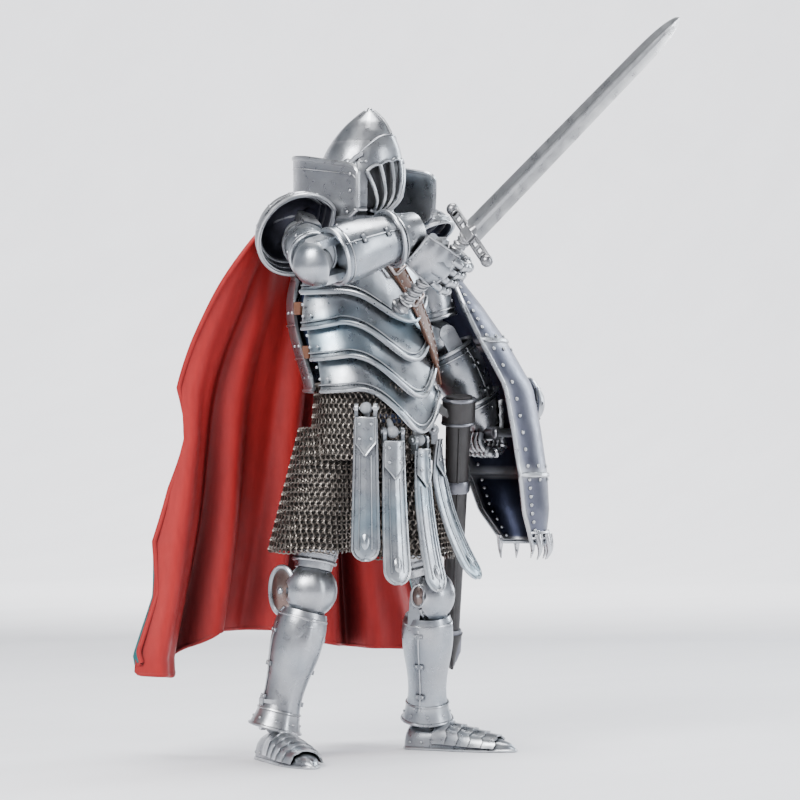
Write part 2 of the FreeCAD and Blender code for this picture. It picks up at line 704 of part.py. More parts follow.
def hand(side):
    """The gauntlet: a cuff, a swivel peg and a fist with a hole for what it holds."""
    way = forearm_way(side)
    grip = {"right": unit(SWORD_WAY), "left": unit(SHIELD_CHORD)}[side]
    centre = FIST[side]
    peg = rod(WRIST[side] - way * 8.0, WRIST[side] + way * 1, 1.4)
    cuff = place(turned(((-1.2, 5.9), (1.5, 5.0), (4.5, 4.1))), WRIST[side], way)
    fist = place(turned(((-4.6, 3.2), (-2.5, 4.4), (2.5, 4.4), (4.6, 3.2))), centre, grip)
    bridge = rod(WRIST[side] + way * 2, centre, 3.2)
    return fuse(peg, cuff, fist, bridge).cut(rod(centre - grip * 9, centre + grip * 9, 1.75 + FIT))


def pauldron(side):
    """The shoulder dome, with a second lame over it and an ear on the collar hinge."""
    centre = SHOULDER[side]
    opening = {"right": unit(V(-0.3, -0.82, -0.5)), "left": unit(V(0.15, -0.5, -0.85))}[side]
    dome = ball(centre, 9.8).cut(ball(centre, 8.8))
    keep = place(Part.makeBox(24, 24, 11, V(-12, -12, 0.5)), centre, opening * -1)
    dome = dome.common(keep)
    inside = OUTWARD[side] * -1
    dome = dome.cut(Part.makeBox(40, 40, 40, V(-20, -20, -20)).translated(centre + inside * (20 + 6.0)))
    pivot = pauldron_pivot(side)
    return fuse(dome, rod(pivot - V(0, 1.6, 0), pivot + V(0, 1.6, 0), 1.2))


def pauldron_pivot(side):
    return SHOULDER[side] + V(-OUTWARD[side].x * 5.2, 3.0, 7.9)


# ---------------------------------------------------------------- sword

def along_sword(distance):
    return FIST["right"] + unit(SWORD_WAY) * distance


def sword_blade():
    """A straight double-edged blade with a ridge down its middle."""
    guard = unit(GUARD_WAY)
    wires = []
    length = BLADE_TIP - BLADE_START
    for share, width, thick in ((0, 1, 1.9), (0.5, 0.86, 1.6), (0.88, 0.68, 1.3), (1.0, 0.08, 0.3)):
        half = BLADE_WIDTH * width / 2
        corners = [V(half, 0, 0), V(0, thick / 2, 0), V(-half, 0, 0), V(0, -thick / 2, 0)]
        wire = Part.makePolygon(corners + [corners[0]])
        wire.translate(V(0, 0, length * share))
        wires.append(wire)
    return place(Part.makeLoft(wires, True, True), along_sword(BLADE_START), unit(SWORD_WAY), guard)


def sword_crossguard():
    """A straight guard with ball ends and square windows."""
    centre = along_sword(BLADE_START - 1.2)
    bar = Part.makeBox(GUARD_LENGTH - 3, 2.2, 2.2, V(-(GUARD_LENGTH - 3) / 2, -1.1, -1.1))
    parts = [bar]
    for end in (-1, 1):
        parts.append(ball(V(end * (GUARD_LENGTH / 2 - 1.3), 0, 0), 1.3))
    guard = fuse(*parts)
    for step in (-3, -2, 2, 3):
        guard = guard.cut(Part.makeBox(1.2, 3, 1.1, V(step * 2.4 - 0.6, -1.5, -0.55)))
    return place(guard, centre, unit(SWORD_WAY), unit(GUARD_WAY))


def sword_grip():
    """The round grip with its pommel."""
    grip = turned(((POMMEL_END + 3.4, 1.75), (-8, 1.75), (0, 1.75), (BLADE_START - 2.4, 1.75)))
    pommel = ball(V(0, 0, POMMEL_END + 2.1), 2.1)
    return place(fuse(grip, pommel), FIST["right"], unit(SWORD_WAY), unit(GUARD_WAY))


# ---------------------------------------------------------------- shield

def shield_at(height):
    """Chord middle, width and depth of the shield at a height."""
    for high, low in zip(SHIELD, SHIELD[1:]):
        if low[0] <= height <= high[0]:
            share = (height - low[0]) / (high[0] - low[0])
            return [b + (a - b) * share for a, b in zip(high, low)][1:]
    raise ValueError(height)


def shield_section(height):
    """The half-round outline of the shield wall at a height."""
    x, y, width, depth = shield_at(height)
    middle = V(x, y, height)
    chord = unit(SHIELD_CHORD)
    out = unit(SHIELD_OUT)
    outer_ends = [middle - chord * (width / 2), middle + chord * (width / 2)]
    inner_ends = [middle - chord * (width / 2 - SHIELD_WALL), middle + chord * (width / 2 - SHIELD_WALL)]
    outer = Part.Arc(outer_ends[0], middle + out * depth, outer_ends[1]).toShape()
    inner = Part.Arc(inner_ends[1], middle + out * (depth - SHIELD_WALL), inner_ends[0]).toShape()
    return Part.Wire([outer, Part.makeLine(outer_ends[1], inner_ends[1]), inner,
                      Part.makeLine(inner_ends[0], outer_ends[0])])


def shield_plate(high, low):
    heights = [high] + [row[0] for row in SHIELD if low < row[0] < high] + [low]
    return Part.makeLoft([shield_section(height) for height in heights], True, True)


def shield_boss():
    """A low dome on the shield's ridge."""
    x, y, _, depth = shield_at(86)
    out = unit(SHIELD_OUT)
    seat = V(x, y, 86) + out * (depth + 0.4)
    dome = ball(seat - out * 4.2, 7.2).common(place(Part.makeCylinder(8, 6), seat, out))
    return dome.cut(shield_plate(*SHIELD_SEAMS)).cut(shield_hollow())


def shield_claws():
    """Short curved spikes along the lower rim."""
    x, y, width, depth = shield_at(51)
    middle = V(x, y, 51)
    chord = unit(SHIELD_CHORD)
    out = unit(SHIELD_OUT)
    claws = []
    for step in range(7):
        angle = math.radians(15 + 25 * step)
        sideways = chord * (math.cos(angle) * (width / 2 - 0.8))
        spot = middle + sideways + out * (math.sin(angle) * (depth - 0.8))
        root = spot - UP * 0.25
        spike = Part.makeCone(0.85, 0.15, 4.6, root, unit(out * 0.3 - UP))
        claws.append(spike.cut(shield_plate(SHIELD_SEAMS[1], SHIELD[-1][0])))
    return Part.makeCompound(claws)


def shield_grip():
    """The bar in the fist, and the two posts that carry it from the shield wall."""
    centre = FIST["left"]
    chord = unit(SHIELD_CHORD)
    out = unit(SHIELD_OUT)
    bar = rod(centre - chord * 7.6, centre + chord * 7.6, 1.75)
    posts = []
    for end in (-1, 1):
        start = centre + chord * (7.0 * end)
        posts.append(rod(start, start + out * 12, 1.2))
    grip = fuse(bar, *posts)
    wall = shield_plate(*SHIELD_SEAMS)
    x, y, width, depth = shield_at(centre.z)
    beyond = place(Part.makeBox(60, 60, 20, V(-30, -30, 0)), V(x, y, centre.z) + out * (depth - 4), out)
    return grip.cut(wall).cut(beyond.cut(shield_hollow()))


def shield_hollow():
    """The room inside the middle of the shield, a little clear of its wall."""
    wires = []
    for height in (SHIELD_SEAMS[0], 90, 79.5, SHIELD_SEAMS[1]):
        x, y, width, depth = shield_at(height)
        middle = V(x, y, height)
        ends = [middle - unit(SHIELD_CHORD) * (width / 2 - SHIELD_WALL - GLUE),
                middle + unit(SHIELD_CHORD) * (width / 2 - SHIELD_WALL - GLUE)]
        arc = Part.Arc(ends[0], middle + unit(SHIELD_OUT) * (depth - SHIELD_WALL - GLUE), ends[1]).toShape()
        wires.append(Part.Wire([arc, Part.makeLine(ends[1], ends[0])]))
    return Part.makeLoft(wires, True, True)


# ---------------------------------------------------------------- cape

def cape():
    """A wide moulded sheet that spreads from the shoulders to the calves."""
    wires = []
    for height, *points in CAPE:
        back = [V(x, y, height) for x, y in points]
        front = [point - V(0, CAPE_WALL, 0) for point in reversed(back)]
        edges = []
        for row in (back, front):
            curve = Part.BSplineCurve()
            curve.interpolate(row)
            edges.append(curve.toShape())
        wires.append(Part.Wire([edges[0], Part.makeLine(back[-1], front[0]), edges[1],
                                Part.makeLine(front[-1], back[0])]))
    return Part.makeLoft(wires, True, False)


# ---------------------------------------------------------------- all nodes

def build():
    """Every node of the figure by name."""
    nodes = {
        "helmet": helmet(),
        "visor": visor(),
        "head_core": head_core(),
        "neck_joint": neck_joint(),
        "torso_core": torso_core(),
        "breastplate": breastplate(),
        "belly_plate_upper": trunk_plate("belly_plate_upper", 108, 2.0),
        "belly_plate_middle": trunk_plate("belly_plate_middle", 100, 2.0),
        "belly_plate_lower": trunk_plate("belly_plate_lower", 91.5, 3.0),
        "backplate": backplate(),
        "gorget": gorget(),
        "neck_guard": neck_guard(),
        "baldric": baldric(),
        "side_straps": side_straps(),
        "waist_joint": waist_joint(),
        "hip_block": hip_block(),
        "belt_pegs": belt_pegs(),
        "scabbard": scabbard(),
        "scabbard_fittings": scabbard_fittings(),
        "sword_blade": sword_blade(),
        "sword_crossguard": sword_crossguard(),
        "sword_grip": sword_grip(),
        "shield_upper": shield_plate(SHIELD[0][0], SHIELD_SEAMS[0] + GLUE),
        "shield_middle": shield_plate(*SHIELD_SEAMS),
        "shield_lower": shield_plate(SHIELD_SEAMS[1] - GLUE, SHIELD[-1][0]),
        "shield_boss": shield_boss(),
        "shield_claws": shield_claws(),
        "shield_grip": shield_grip(),
        "cape": cape(),
    }
    for index in range(len(TASSET_BALLS)):
        nodes["tasset_%d" % (index + 1)] = tasset(index)
    makers = (mail_skirt, hip_joint, thigh, knee_guard, shin, ankle_joint, foot,
              shoulder_joint, pauldron, upper_arm, elbow_joint, forearm, hand)
    for side in SIDES:
        for maker in makers:
            nodes["%s_%s" % (maker.__name__, side)] = maker(side)
    return nodes


def centre_on_ground(nodes):
    """How far the figure moves so that the origin is on the ground under its middle."""
    boxes = [shape.optimalBoundingBox(True, False) for shape in nodes.values()]
    low = V(min(box.XMin for box in boxes), min(box.YMin for box in boxes), min(box.ZMin for box in boxes))
    high_x = max(box.XMax for box in boxes)
    high_y = max(box.YMax for box in boxes)
    return V(-(low.x + high_x) / 2, -(low.y + high_y) / 2, -low.z)


def main():
    os.makedirs("parts", exist_ok=True)
    nodes = build()
    shift = centre_on_ground(nodes)
    for name, shape in nodes.items():
        shape.translate(shift)
        shape.exportStep("parts/%s.step" % name)
        if not shape.isValid() or shape.Volume <= 0:
            print("not sound:", name)
    print("nodes", len(nodes), "shift", shift)
    return nodes, shift


if __name__ == "__main__":
    main()
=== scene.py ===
"""Looks of the armoured knight figure. Shapes are worked out in millimetres on the figure's own
skeleton, with the pelvis over the origin and the soles at height 0, and placed in metres."""
import bmesh
import bpy
import json
import math
import mathutils
import numpy as np
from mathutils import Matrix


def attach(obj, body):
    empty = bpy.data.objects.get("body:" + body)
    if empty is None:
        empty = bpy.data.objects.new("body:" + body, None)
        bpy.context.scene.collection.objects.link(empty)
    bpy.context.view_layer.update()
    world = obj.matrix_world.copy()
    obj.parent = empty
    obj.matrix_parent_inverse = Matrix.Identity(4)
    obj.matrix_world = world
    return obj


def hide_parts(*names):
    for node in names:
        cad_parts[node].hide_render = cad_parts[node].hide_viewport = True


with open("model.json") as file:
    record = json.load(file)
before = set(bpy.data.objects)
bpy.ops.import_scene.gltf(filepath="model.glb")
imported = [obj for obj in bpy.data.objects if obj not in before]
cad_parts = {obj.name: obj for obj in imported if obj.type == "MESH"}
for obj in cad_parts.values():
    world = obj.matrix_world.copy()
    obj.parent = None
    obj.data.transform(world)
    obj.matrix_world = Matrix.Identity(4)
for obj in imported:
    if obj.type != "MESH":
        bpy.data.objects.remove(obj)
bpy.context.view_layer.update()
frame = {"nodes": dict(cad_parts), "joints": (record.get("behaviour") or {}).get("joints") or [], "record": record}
MM = 0.001
SIDES = ("right", "left")
JOINTS = {joint["name"]: joint for joint in frame["joints"]}


def vec(x, y, z):
    return np.array((x, y, z), float)


UP = vec(0, 0, 1)
ACROSS = vec(1, 0, 0)


def unit(vector):
    return np.asarray(vector, float) / np.linalg.norm(vector)


WAIST = vec(0, -2, 88)
ORIGIN = np.array(JOINTS["waist_turn"]["pos_m"]) / MM - WAIST


def pivot(name):
    """A joint's centre on the skeleton."""
    return np.array(JOINTS[name]["pos_m"]) / MM - ORIGIN


def axis(name):
    return unit(JOINTS[name]["axis"])


# ------------------------------------------------------------------ camera, light, floor

VIEW_RIGHT = vec(0.643, -0.766, 0)
VIEW_AWAY = vec(0.766, 0.643, 0)
CAMERA_DISTANCE = 717.0
CAMERA_HEIGHT = 72.0
CAMERA_SIDE = 9.755
CAMERA_LENS = 132.3
CAMERA_PITCH = math.radians(91.146)
CAMERA_TURN = math.radians(-50)


def to_world(points):
    """Skeleton millimetres to metres in the row frame."""
    return (np.asarray(points, float) + ORIGIN) * MM


def add_camera():
    data = bpy.data.cameras.new("camera")
    data.lens = CAMERA_LENS
    data.clip_start = 0.01
    camera = bpy.data.objects.new("camera", data)
    place = VIEW_RIGHT * CAMERA_SIDE - VIEW_AWAY * CAMERA_DISTANCE + UP * CAMERA_HEIGHT
    camera.location = to_world(place)
    camera.rotation_euler = (CAMERA_PITCH, 0, CAMERA_TURN)
    bpy.context.scene.collection.objects.link(camera)
    bpy.context.scene.camera = camera


def add_area(name, place, aim, size, power, colour=(1, 1, 1)):
    """A soft box at a place, turned to its aim."""
    data = bpy.data.lights.new(name, "AREA")
    data.shape = "RECTANGLE"
    data.size, data.size_y = size[0] * MM, size[1] * MM
    data.energy = power
    data.color = colour
    lamp = bpy.data.objects.new(name, data)
    lamp.location = to_world(place)
    from_to = to_world(aim) - to_world(place)
    lamp.rotation_euler = mathutils.Vector(from_to).to_track_quat("-Z", "Y").to_euler()
    bpy.context.scene.collection.objects.link(lamp)


def seen(right, away, height):
    """A place given by how far it is to the camera's right and away from it."""
    return VIEW_RIGHT * right + VIEW_AWAY * away + UP * height


def add_lights():
    chest = vec(0, 0, 90)
    add_area("key", seen(-240, -420, 430), chest, (260, 260), 5.6)
    add_area("fill", seen(520, -220, 240), chest, (140, 420), 2.2, (0.90, 0.95, 1.0))
    add_area("top", seen(60, 100, 700), chest, (420, 300), 6.5)
    add_area("rim", seen(430, 380, 300), chest, (160, 420), 3.0, (0.85, 0.93, 1.0))
    add_area("wall", seen(0, 620, 620), seen(0, 1750, 330), (900, 300), 26)
    world = bpy.data.worlds.new("studio")
    bpy.context.scene.world = world
    world.use_nodes = True
    sky = world.node_tree.nodes["Background"]
    sky.inputs["Color"].default_value = (0.58, 0.60, 0.66, 1)
    sky.inputs["Strength"].default_value = 0.34


# ------------------------------------------------------------------ mesh building

class Piece:
    """Points, faces and the material number of each face, gathered before one mesh is made."""

    def __init__(self):
        self.points = []
        self.faces = []
        self.slots = []
        self.count = 0

    def add(self, points, faces, slot=0):
        points = np.asarray(points, float).reshape(-1, 3)
        self.points.append(points)
        self.faces += [tuple(int(i) + self.count for i in face) for face in faces]
        self.slots += [slot] * len(faces)
        self.count += len(points)

    def grid(self, points, close_u=False, close_v=False, slot=0, flip=False):
        """Quads over an array of rows of points."""
        rows, columns = points.shape[:2]
        faces = []
        for i in range(rows if close_u else rows - 1):
            for j in range(columns if close_v else columns - 1):
                a, b = i * columns + j, i * columns + (j + 1) % columns
                c, d = ((i + 1) % rows) * columns + (j + 1) % columns, ((i + 1) % rows) * columns + j
                faces.append((a, d, c, b) if flip else (a, b, c, d))
        self.add(points, faces, slot)

    def wall(self, outer, inner, close_v=False, slot=0, inner_slot=None):
        """A closed shell between two grids of the same size; its rows may run round."""
        inner_slot = slot if inner_slot is None else inner_slot
        self.grid(outer, close_v=close_v, slot=slot)
        self.grid(inner, close_v=close_v, slot=inner_slot, flip=True)
        edges = [(outer[0], inner[0], True), (outer[-1], inner[-1], False)]
        if not close_v:
            edges += [(outer[:, 0], inner[:, 0], False), (outer[:, -1], inner[:, -1], True)]
        for near, far, turn in edges:
            self.grid(np.stack([near, far]), close_v=close_v, slot=slot, flip=turn)

    def sheet(self, outer, thickness, close_v=False, slot=0, inner_slot=None):
        """A grid given an even thickness towards its inside."""
        self.wall(outer, outer - normals(outer, close_v) * thickness, close_v, slot, inner_slot)

    def tube(self, path, radius, sides=8, closed=False, slot=0, flatten=1.0):
        """A round bead along a path; its radius may change from point to point."""
        path = np.asarray(path, float)
        radius = np.broadcast_to(np.asarray(radius, float), (len(path),))
        if closed:
            along = np.roll(path, -1, 0) - np.roll(path, 1, 0)
        else:
            along = np.gradient(path, axis=0)
        along /= np.linalg.norm(along, axis=1)[:, None] + 1e-12
        side = np.zeros_like(path)
        last = unit(np.cross(along[0], (0.31, 0.52, 0.79)))
        for i, way in enumerate(along):
            last = last - way * np.dot(last, way)
            last = last / (np.linalg.norm(last) + 1e-12)
            side[i] = last
        third = np.cross(along, side)
        angle = np.linspace(0, 2 * math.pi, sides, endpoint=False)
        cosine, sine = np.cos(angle)[None, :, None], np.sin(angle)[None, :, None]
        ring = cosine * side[:, None] + flatten * sine * third[:, None]
        points = path[:, None] + ring * radius[:, None, None]
        self.grid(points, close_u=closed, close_v=True, slot=slot)
        if not closed:
            self.cap_ends(len(path), sides, slot)

    def dome(self, centre, normal, radius, height=None, slot=0, sides=10):
        """A round rivet head that stands on a surface."""
        rings = 3
        normal = unit(normal)
        height = radius * 0.7 if height is None else height
        side = unit(np.cross(normal, (0.3, 0.5, 0.81)))
        third = np.cross(normal, side)
        points = [centre - normal * radius * 0.3]
        faces = []
        for k in range(rings + 1):
            lift = math.pi / 2 * k / (rings + 1)
            for i in range(sides):
                turn = 2 * math.pi * i / sides
                ring = side * math.cos(turn) + third * math.sin(turn)
                points.append(centre + ring * radius * math.cos(lift) + normal * height * math.sin(lift))
        points.append(centre + normal * height)
        for i in range(sides):
            j = (i + 1) % sides
            faces.append((0, 1 + j, 1 + i))
            for k in range(rings):
                low = 1 + k * sides
                faces.append((low + i, low + j, low + sides + j, low + sides + i))
            faces.append((1 + rings * sides + i, 1 + rings * sides + j, len(points) - 1))
        self.add(points, faces, slot)

    def box(self, centre, x, y, z):
        """A block from its centre and three half-size vectors."""
        corners = [centre + x * a + y * b + z * c for c in (-1, 1) for b in (-1, 1) for a in (-1, 1)]
        faces = [(0, 2, 3, 1), (4, 5, 7, 6), (0, 1, 5, 4), (2, 6, 7, 3), (1, 3, 7, 5), (0, 4, 6, 2)]
        self.add(corners, faces)

    def turned(self, basis, profile, sides=48, shape=None, closed_profile=False):
        """A solid of revolution, or a shell when its profile is a closed loop."""
        rows = [ring_path(basis, height, radius, sides, shape) for height, radius in profile]
        self.grid(np.array(rows), close_u=closed_profile, close_v=True)
        if not closed_profile:
            self.cap_ends(len(rows), sides)

    def shell(self, basis, profile, thickness, sides, shape=None):
        """A turned tube that is open at both ends."""
        inside = [(height, radius - thickness) for height, radius in reversed(profile)]
        self.turned(basis, list(profile) + inside, sides, shape=shape, closed_profile=True)

    def rivet_ring(self, basis, count, height, radius, size, start=0.0):
        """Rivets evenly round a limb; start is a share of the step between two."""
        for k in range(count):
            here, out = surface_at(basis, 2 * math.pi * (k + start) / count, height, radius)
            self.dome(here, out, size)

    def cap_ends(self, rows, sides, slot=0, flip=False):
        """Flat faces over both ends of the tube that was added last."""
        start = self.count - rows * sides
        end = start + (rows - 1) * sides
        near, far = (list(range(first, first + sides)) for first in (start, end))
        (far if flip else near).reverse()
        self.faces += [tuple(near), tuple(far)]
        self.slots += [slot, slot]

    def make(self, name, body, materials, replaces=(), bevel=0.0, smooth=40):
        """The finished object, riding on its body."""
        thing = self.object(name, materials, smooth)
        if bevel:
            modifier = thing.modifiers.new("bevel", "BEVEL")
            modifier.width = bevel * MM
            modifier.segments = 2
            modifier.limit_method = "ANGLE"
            modifier.angle_limit = math.radians(smooth)
        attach(thing, body)
        if replaces:
            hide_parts(*replaces)
        return thing

    def object(self, name, materials, smooth):
        """One mesh object from everything gathered, with shared corners joined."""
        mesh = bpy.data.meshes.new(name)
        mesh.from_pydata((to_world(np.vstack(self.points))).tolist(), [], self.faces)
        for material in materials:
            mesh.materials.append(material)
        mesh.polygons.foreach_set("material_index", self.slots)
        work = bmesh.new()
        work.from_mesh(mesh)
        bmesh.ops.remove_doubles(work, verts=work.verts, dist=2e-6)
        work.to_mesh(mesh)
        work.free()
        mesh.polygons.foreach_set("use_smooth", [True] * len(mesh.polygons))
        mesh.set_sharp_from_angle(angle=math.radians(smooth))
        thing = bpy.data.objects.new(name, mesh)
        bpy.context.scene.collection.objects.link(thing)
        return thing


def normals(points, close_v=False):
    """Outward unit normals of a grid of points, by differences."""
    du = np.gradient(points, axis=0)
    if close_v:
        dv = (np.roll(points, -1, 1) - np.roll(points, 1, 1)) / 2
    else:
        dv = np.gradient(points, axis=1)
    normal = np.cross(dv, du)
    size = np.linalg.norm(normal, axis=2)[:, :, None]
    return normal / np.maximum(size, 1e-9)


class Basis:
    """A local frame: an origin, +Z along a direction and +X as near as can be to a side."""

    def __init__(self, origin, along, side=ACROSS):
        self.origin = np.asarray(origin, float)
        self.z = unit(along)
        side = np.asarray(side, float)
        self.x = unit(side - self.z * np.dot(side, self.z))
        self.y = np.cross(self.z, self.x)

    def at(self, points):
        points = np.asarray(points, float)
        return self.origin + points[..., :1] * self.x + points[..., 1:2] * self.y + points[..., 2:3] * self.z


def ring_path(basis, height, radius, count=48, shape=None):
    """A circle round a basis, or a closed line whose radius a shape changes with the angle."""
    angle = np.linspace(0, 2 * math.pi, count, endpoint=False)
    reach = radius * (shape(angle) if shape else 1.0)
    return basis.at(np.stack([np.cos(angle) * reach, np.sin(angle) * reach, np.full(count, height)], -1))


def border_of(grid):
    """The closed line round the four edges of a grid."""
    return np.vstack([grid[0], grid[1:, -1], grid[-1][::-1][1:], grid[1:-1, 0][::-1]])


def ball_profile(radius, start, count):
    """A turned ball round height 0, open by the start angle at its low end."""
    angles = np.linspace(start, math.pi, count)
    return [(-radius * math.cos(a), max(radius * math.sin(a), 0.05)) for a in angles]


def smooth_line(points, count):
    """A Catmull-Rom line through points, sampled evenly in its own parameter."""
    points = np.asarray(points, float)
    padded = np.vstack([2 * points[0] - points[1], points, 2 * points[-1] - points[-2]])
    result = []
    for step in np.linspace(0, len(points) - 1, count):
        i = min(int(step), len(points) - 2)
        t = step - i
        a, b, c, d = padded[i:i + 4]
        result.append(0.5 * (2 * b + (c - a) * t + (2 * a - 5 * b + 4 * c - d) * t ** 2
                             + (3 * b - a - 3 * c + d) * t ** 3))
    return np.array(result)


# ------------------------------------------------------------------ materials

class Nodes:
    """Short words for building one material's node tree."""

    def __init__(self, name):
        self.material = bpy.data.materials.new(name)
        self.material.use_nodes = True
        self.tree = self.material.node_tree
        self.shader = self.tree.nodes["Principled BSDF"]
        self.place = self.node("ShaderNodeTexCoord").outputs["Object"]

    def node(self, kind, **values):
        made = self.tree.nodes.new(kind)
        for key, value in values.items():
            setattr(made, key, value)
        return made

    def join(self, output, socket):
        self.tree.links.new(output, socket)

    def noise(self, scale, detail=3.0, rough=0.5, stretch=None):
        """A noise value; its scale is in features per metre."""
        made = self.node("ShaderNodeTexNoise")
        made.inputs["Scale"].default_value = scale
        made.inputs["Detail"].default_value = detail
        made.inputs["Roughness"].default_value = rough
        source = self.place
        if stretch:
            mapping = self.node("ShaderNodeMapping")
            mapping.inputs["Scale"].default_value = stretch
            self.join(self.place, mapping.inputs["Vector"])
            source = mapping.outputs["Vector"]
        self.join(source, made.inputs["Vector"])
        return made.outputs["Fac"]

    def greys(self, value, low, high, first=0.0, second=1.0):
        """A value mapped to a grey: first up to low, second from high on."""
        made = self.node("ShaderNodeValToRGB")
        for element, place, shade in zip(made.color_ramp.elements, (low, high), (first, second)):
            element.position = place
            element.color = (shade, shade, shade, 1)
        self.join(value, made.inputs["Fac"])
        return made.outputs["Color"]

    def mix(self, share, first, second, kind="MIX"):
        made = self.node("ShaderNodeMix", data_type="RGBA", blend_type=kind)
        for socket, value in ((made.inputs[0], share), (made.inputs[6], first), (made.inputs[7], second)):
            if isinstance(value, (int, float)):
                socket.default_value = value
            elif isinstance(value, tuple):
                socket.default_value = (*value, 1)
            else:
                self.join(value, socket)
        return made.outputs[2]

    def occlusion_shade(self, distance, low=0.45, high=0.97):
        """Painted shade: dark in corners and beside raised edges, white in the open."""
        made = self.node("ShaderNodeAmbientOcclusion")
        made.samples = 6
        made.only_local = True
        made.inputs["Distance"].default_value = distance * MM
        return self.greys(made.outputs["AO"], low, high)

    def edge(self):
        """White along outward edges."""
        shape = self.node("ShaderNodeNewGeometry")
        return self.greys(shape.outputs["Pointiness"], 0.52, 0.62)

    def bump(self, height, strength, distance):
        made = self.node("ShaderNodeBump")
        made.inputs["Strength"].default_value = strength
        made.inputs["Distance"].default_value = distance * MM
        self.join(height, made.inputs["Height"])
        self.join(made.outputs["Normal"], self.shader.inputs["Normal"])

    def finish(self, colour, rough, metallic=0.0, specular=0.5):
        self.join(colour, self.shader.inputs["Base Color"])
        self.join(rough, self.shader.inputs["Roughness"])
        self.shader.inputs["Metallic"].default_value = metallic
        self.shader.inputs["Specular IOR Level"].default_value = specular
        return self.material


METALLIC = 0.93


def painted_metal(name, dark, light, tint, corner_shade, rough=(0.24, 0.40), tint_share=0.4, reach=1.5):
    """Metallic paint with fine flake, cloudy tint, and painted shade in the corners."""
    n = Nodes(name)
    colour = n.mix(n.noise(260, 4), dark, light)
    cloud = n.greys(n.noise(55, 2), 0.45, 0.72, 0, tint_share)
    colour = n.mix(cloud, colour, tint)
    flake = n.greys(n.noise(5200, 2), 0.35, 0.7, 0.86, 1.0)
    colour = n.mix(1.0, colour, flake, "MULTIPLY")
    # painted shade: occlusion darkens corners and the foot of raised edges to a near-black colour
    colour = n.mix(n.occlusion_shade(reach), corner_shade, colour)
    colour = n.mix(n.greys(n.edge(), 0, 1, 0, 0.35), colour, (0.9, 0.91, 0.92))
    roughness = n.greys(n.noise(420, 3), 0.3, 0.75, *rough)
    n.bump(n.noise(2600, 3), 0.25, 0.05)
    return n.finish(colour, roughness, METALLIC)


def plastic(name, dark, light, rough, grain=1800):
    """Moulded or painted plastic with a faint mottle and painted shade in its corners."""
    n = Nodes(name)
    colour = n.mix(n.noise(330, 4), dark, light)
    # painted shade: occlusion darkens the corners to near black
    colour = n.mix(n.occlusion_shade(0.9), (0.02, 0.02, 0.02), colour)
    roughness = n.greys(n.noise(500, 3), 0.3, 0.7, *rough)
    n.bump(n.noise(grain, 3), 0.25, 0.06)
    return n.finish(colour, roughness)


def leather(name):
    """Brown painted strap with a worn mottle."""
    n = Nodes(name)
    colour = n.mix(n.noise(420, 5, 0.6), (0.055, 0.020, 0.010), (0.16, 0.065, 0.032))
    # painted shade: occlusion darkens the corners to near black
    colour = n.mix(n.occlusion_shade(0.8), (0.02, 0.01, 0.008), colour)
    roughness = n.greys(n.noise(900, 3), 0.3, 0.7, 0.45, 0.65)
    n.bump(n.noise(1500, 5), 0.5, 0.12)
    return n.finish(colour, roughness)


def cape_paint(name, deep, mid, light):
    """Matt cape colour with painted shade in the folds, and brushed streaks down the cloth."""
    n = Nodes(name)
    colour = n.mix(n.noise(38, 3, 0.5, (1.0, 1.0, 0.25)), mid, light)
    streaks = n.greys(n.noise(700, 4, 0.6, (1.0, 1.0, 0.2)), 0.3, 0.8, 0, 0.3)
    colour = n.mix(streaks, colour, deep)
    # painted shade: the folds darken to the deep colour over a wide reach; the same colour also gives the streaks
    colour = n.mix(n.occlusion_shade(16.0, 0.45, 0.98), deep, colour)
    roughness = n.greys(n.noise(300, 3), 0.3, 0.7, 0.48, 0.64)
    n.bump(n.noise(900, 4, 0.5, (1.0, 1.0, 0.3)), 0.35, 0.15)
    return n.finish(colour, roughness, specular=0.28)


def floor_paint(name):
    """Pale matt floor with faint brushed streaks."""
    n = Nodes(name)
    colour = n.mix(n.noise(14, 5, 0.6, (0.5, 1.6, 1.0)), (0.78, 0.78, 0.81), (0.90, 0.90, 0.925))
    roughness = n.greys(n.noise(40, 4), 0.3, 0.7, 0.5, 0.7)
    n.bump(n.noise(160, 5, 0.6, (0.35, 2.0, 1.0)), 0.3, 0.6)
    return n.finish(colour, roughness)


# Painted metals: dark and light of the mottle, cloudy tint, painted shade in the corners
STEEL = painted_metal("silver_paint", (0.27, 0.28, 0.30), (0.47, 0.48, 0.50),
                      (0.25, 0.34, 0.42), (0.01, 0.01, 0.015))
STEEL_DARK = painted_metal("dark_paint", (0.05, 0.052, 0.07), (0.12, 0.12, 0.15),
                           (0.05, 0.06, 0.12), (0.005, 0.005, 0.008), (0.3, 0.45))
TINTED = painted_metal("bluish_paint", (0.28, 0.30, 0.33), (0.50, 0.52, 0.54),
                       (0.19, 0.32, 0.40), (0.01, 0.012, 0.018), tint_share=0.8)
MAIL = painted_metal("mail_paint", (0.10, 0.085, 0.075), (0.30, 0.27, 0.24),
                     (0.16, 0.13, 0.11), (0.006, 0.005, 0.004), (0.3, 0.5), reach=0.5)
BRONZE = painted_metal("brown_metal", (0.13, 0.09, 0.08), (0.25, 0.19, 0.17),
                       (0.2, 0.12, 0.1), (0.01, 0.008, 0.006))
BLADE = painted_metal("blade_paint", (0.34, 0.35, 0.37), (0.56, 0.57, 0.58),
                      (0.32, 0.34, 0.38), (0.02, 0.02, 0.02), (0.26, 0.4))
GUARD = painted_metal("hilt_paint", (0.10, 0.10, 0.105), (0.36, 0.36, 0.37),
                      (0.2, 0.2, 0.22), (0.004, 0.004, 0.004), (0.28, 0.42), reach=0.8)
CLAW = painted_metal("claw_paint", (0.40, 0.41, 0.43), (0.66, 0.66, 0.67),
                     (0.4, 0.42, 0.46), (0.02, 0.02, 0.02), (0.22, 0.36), reach=0.7)
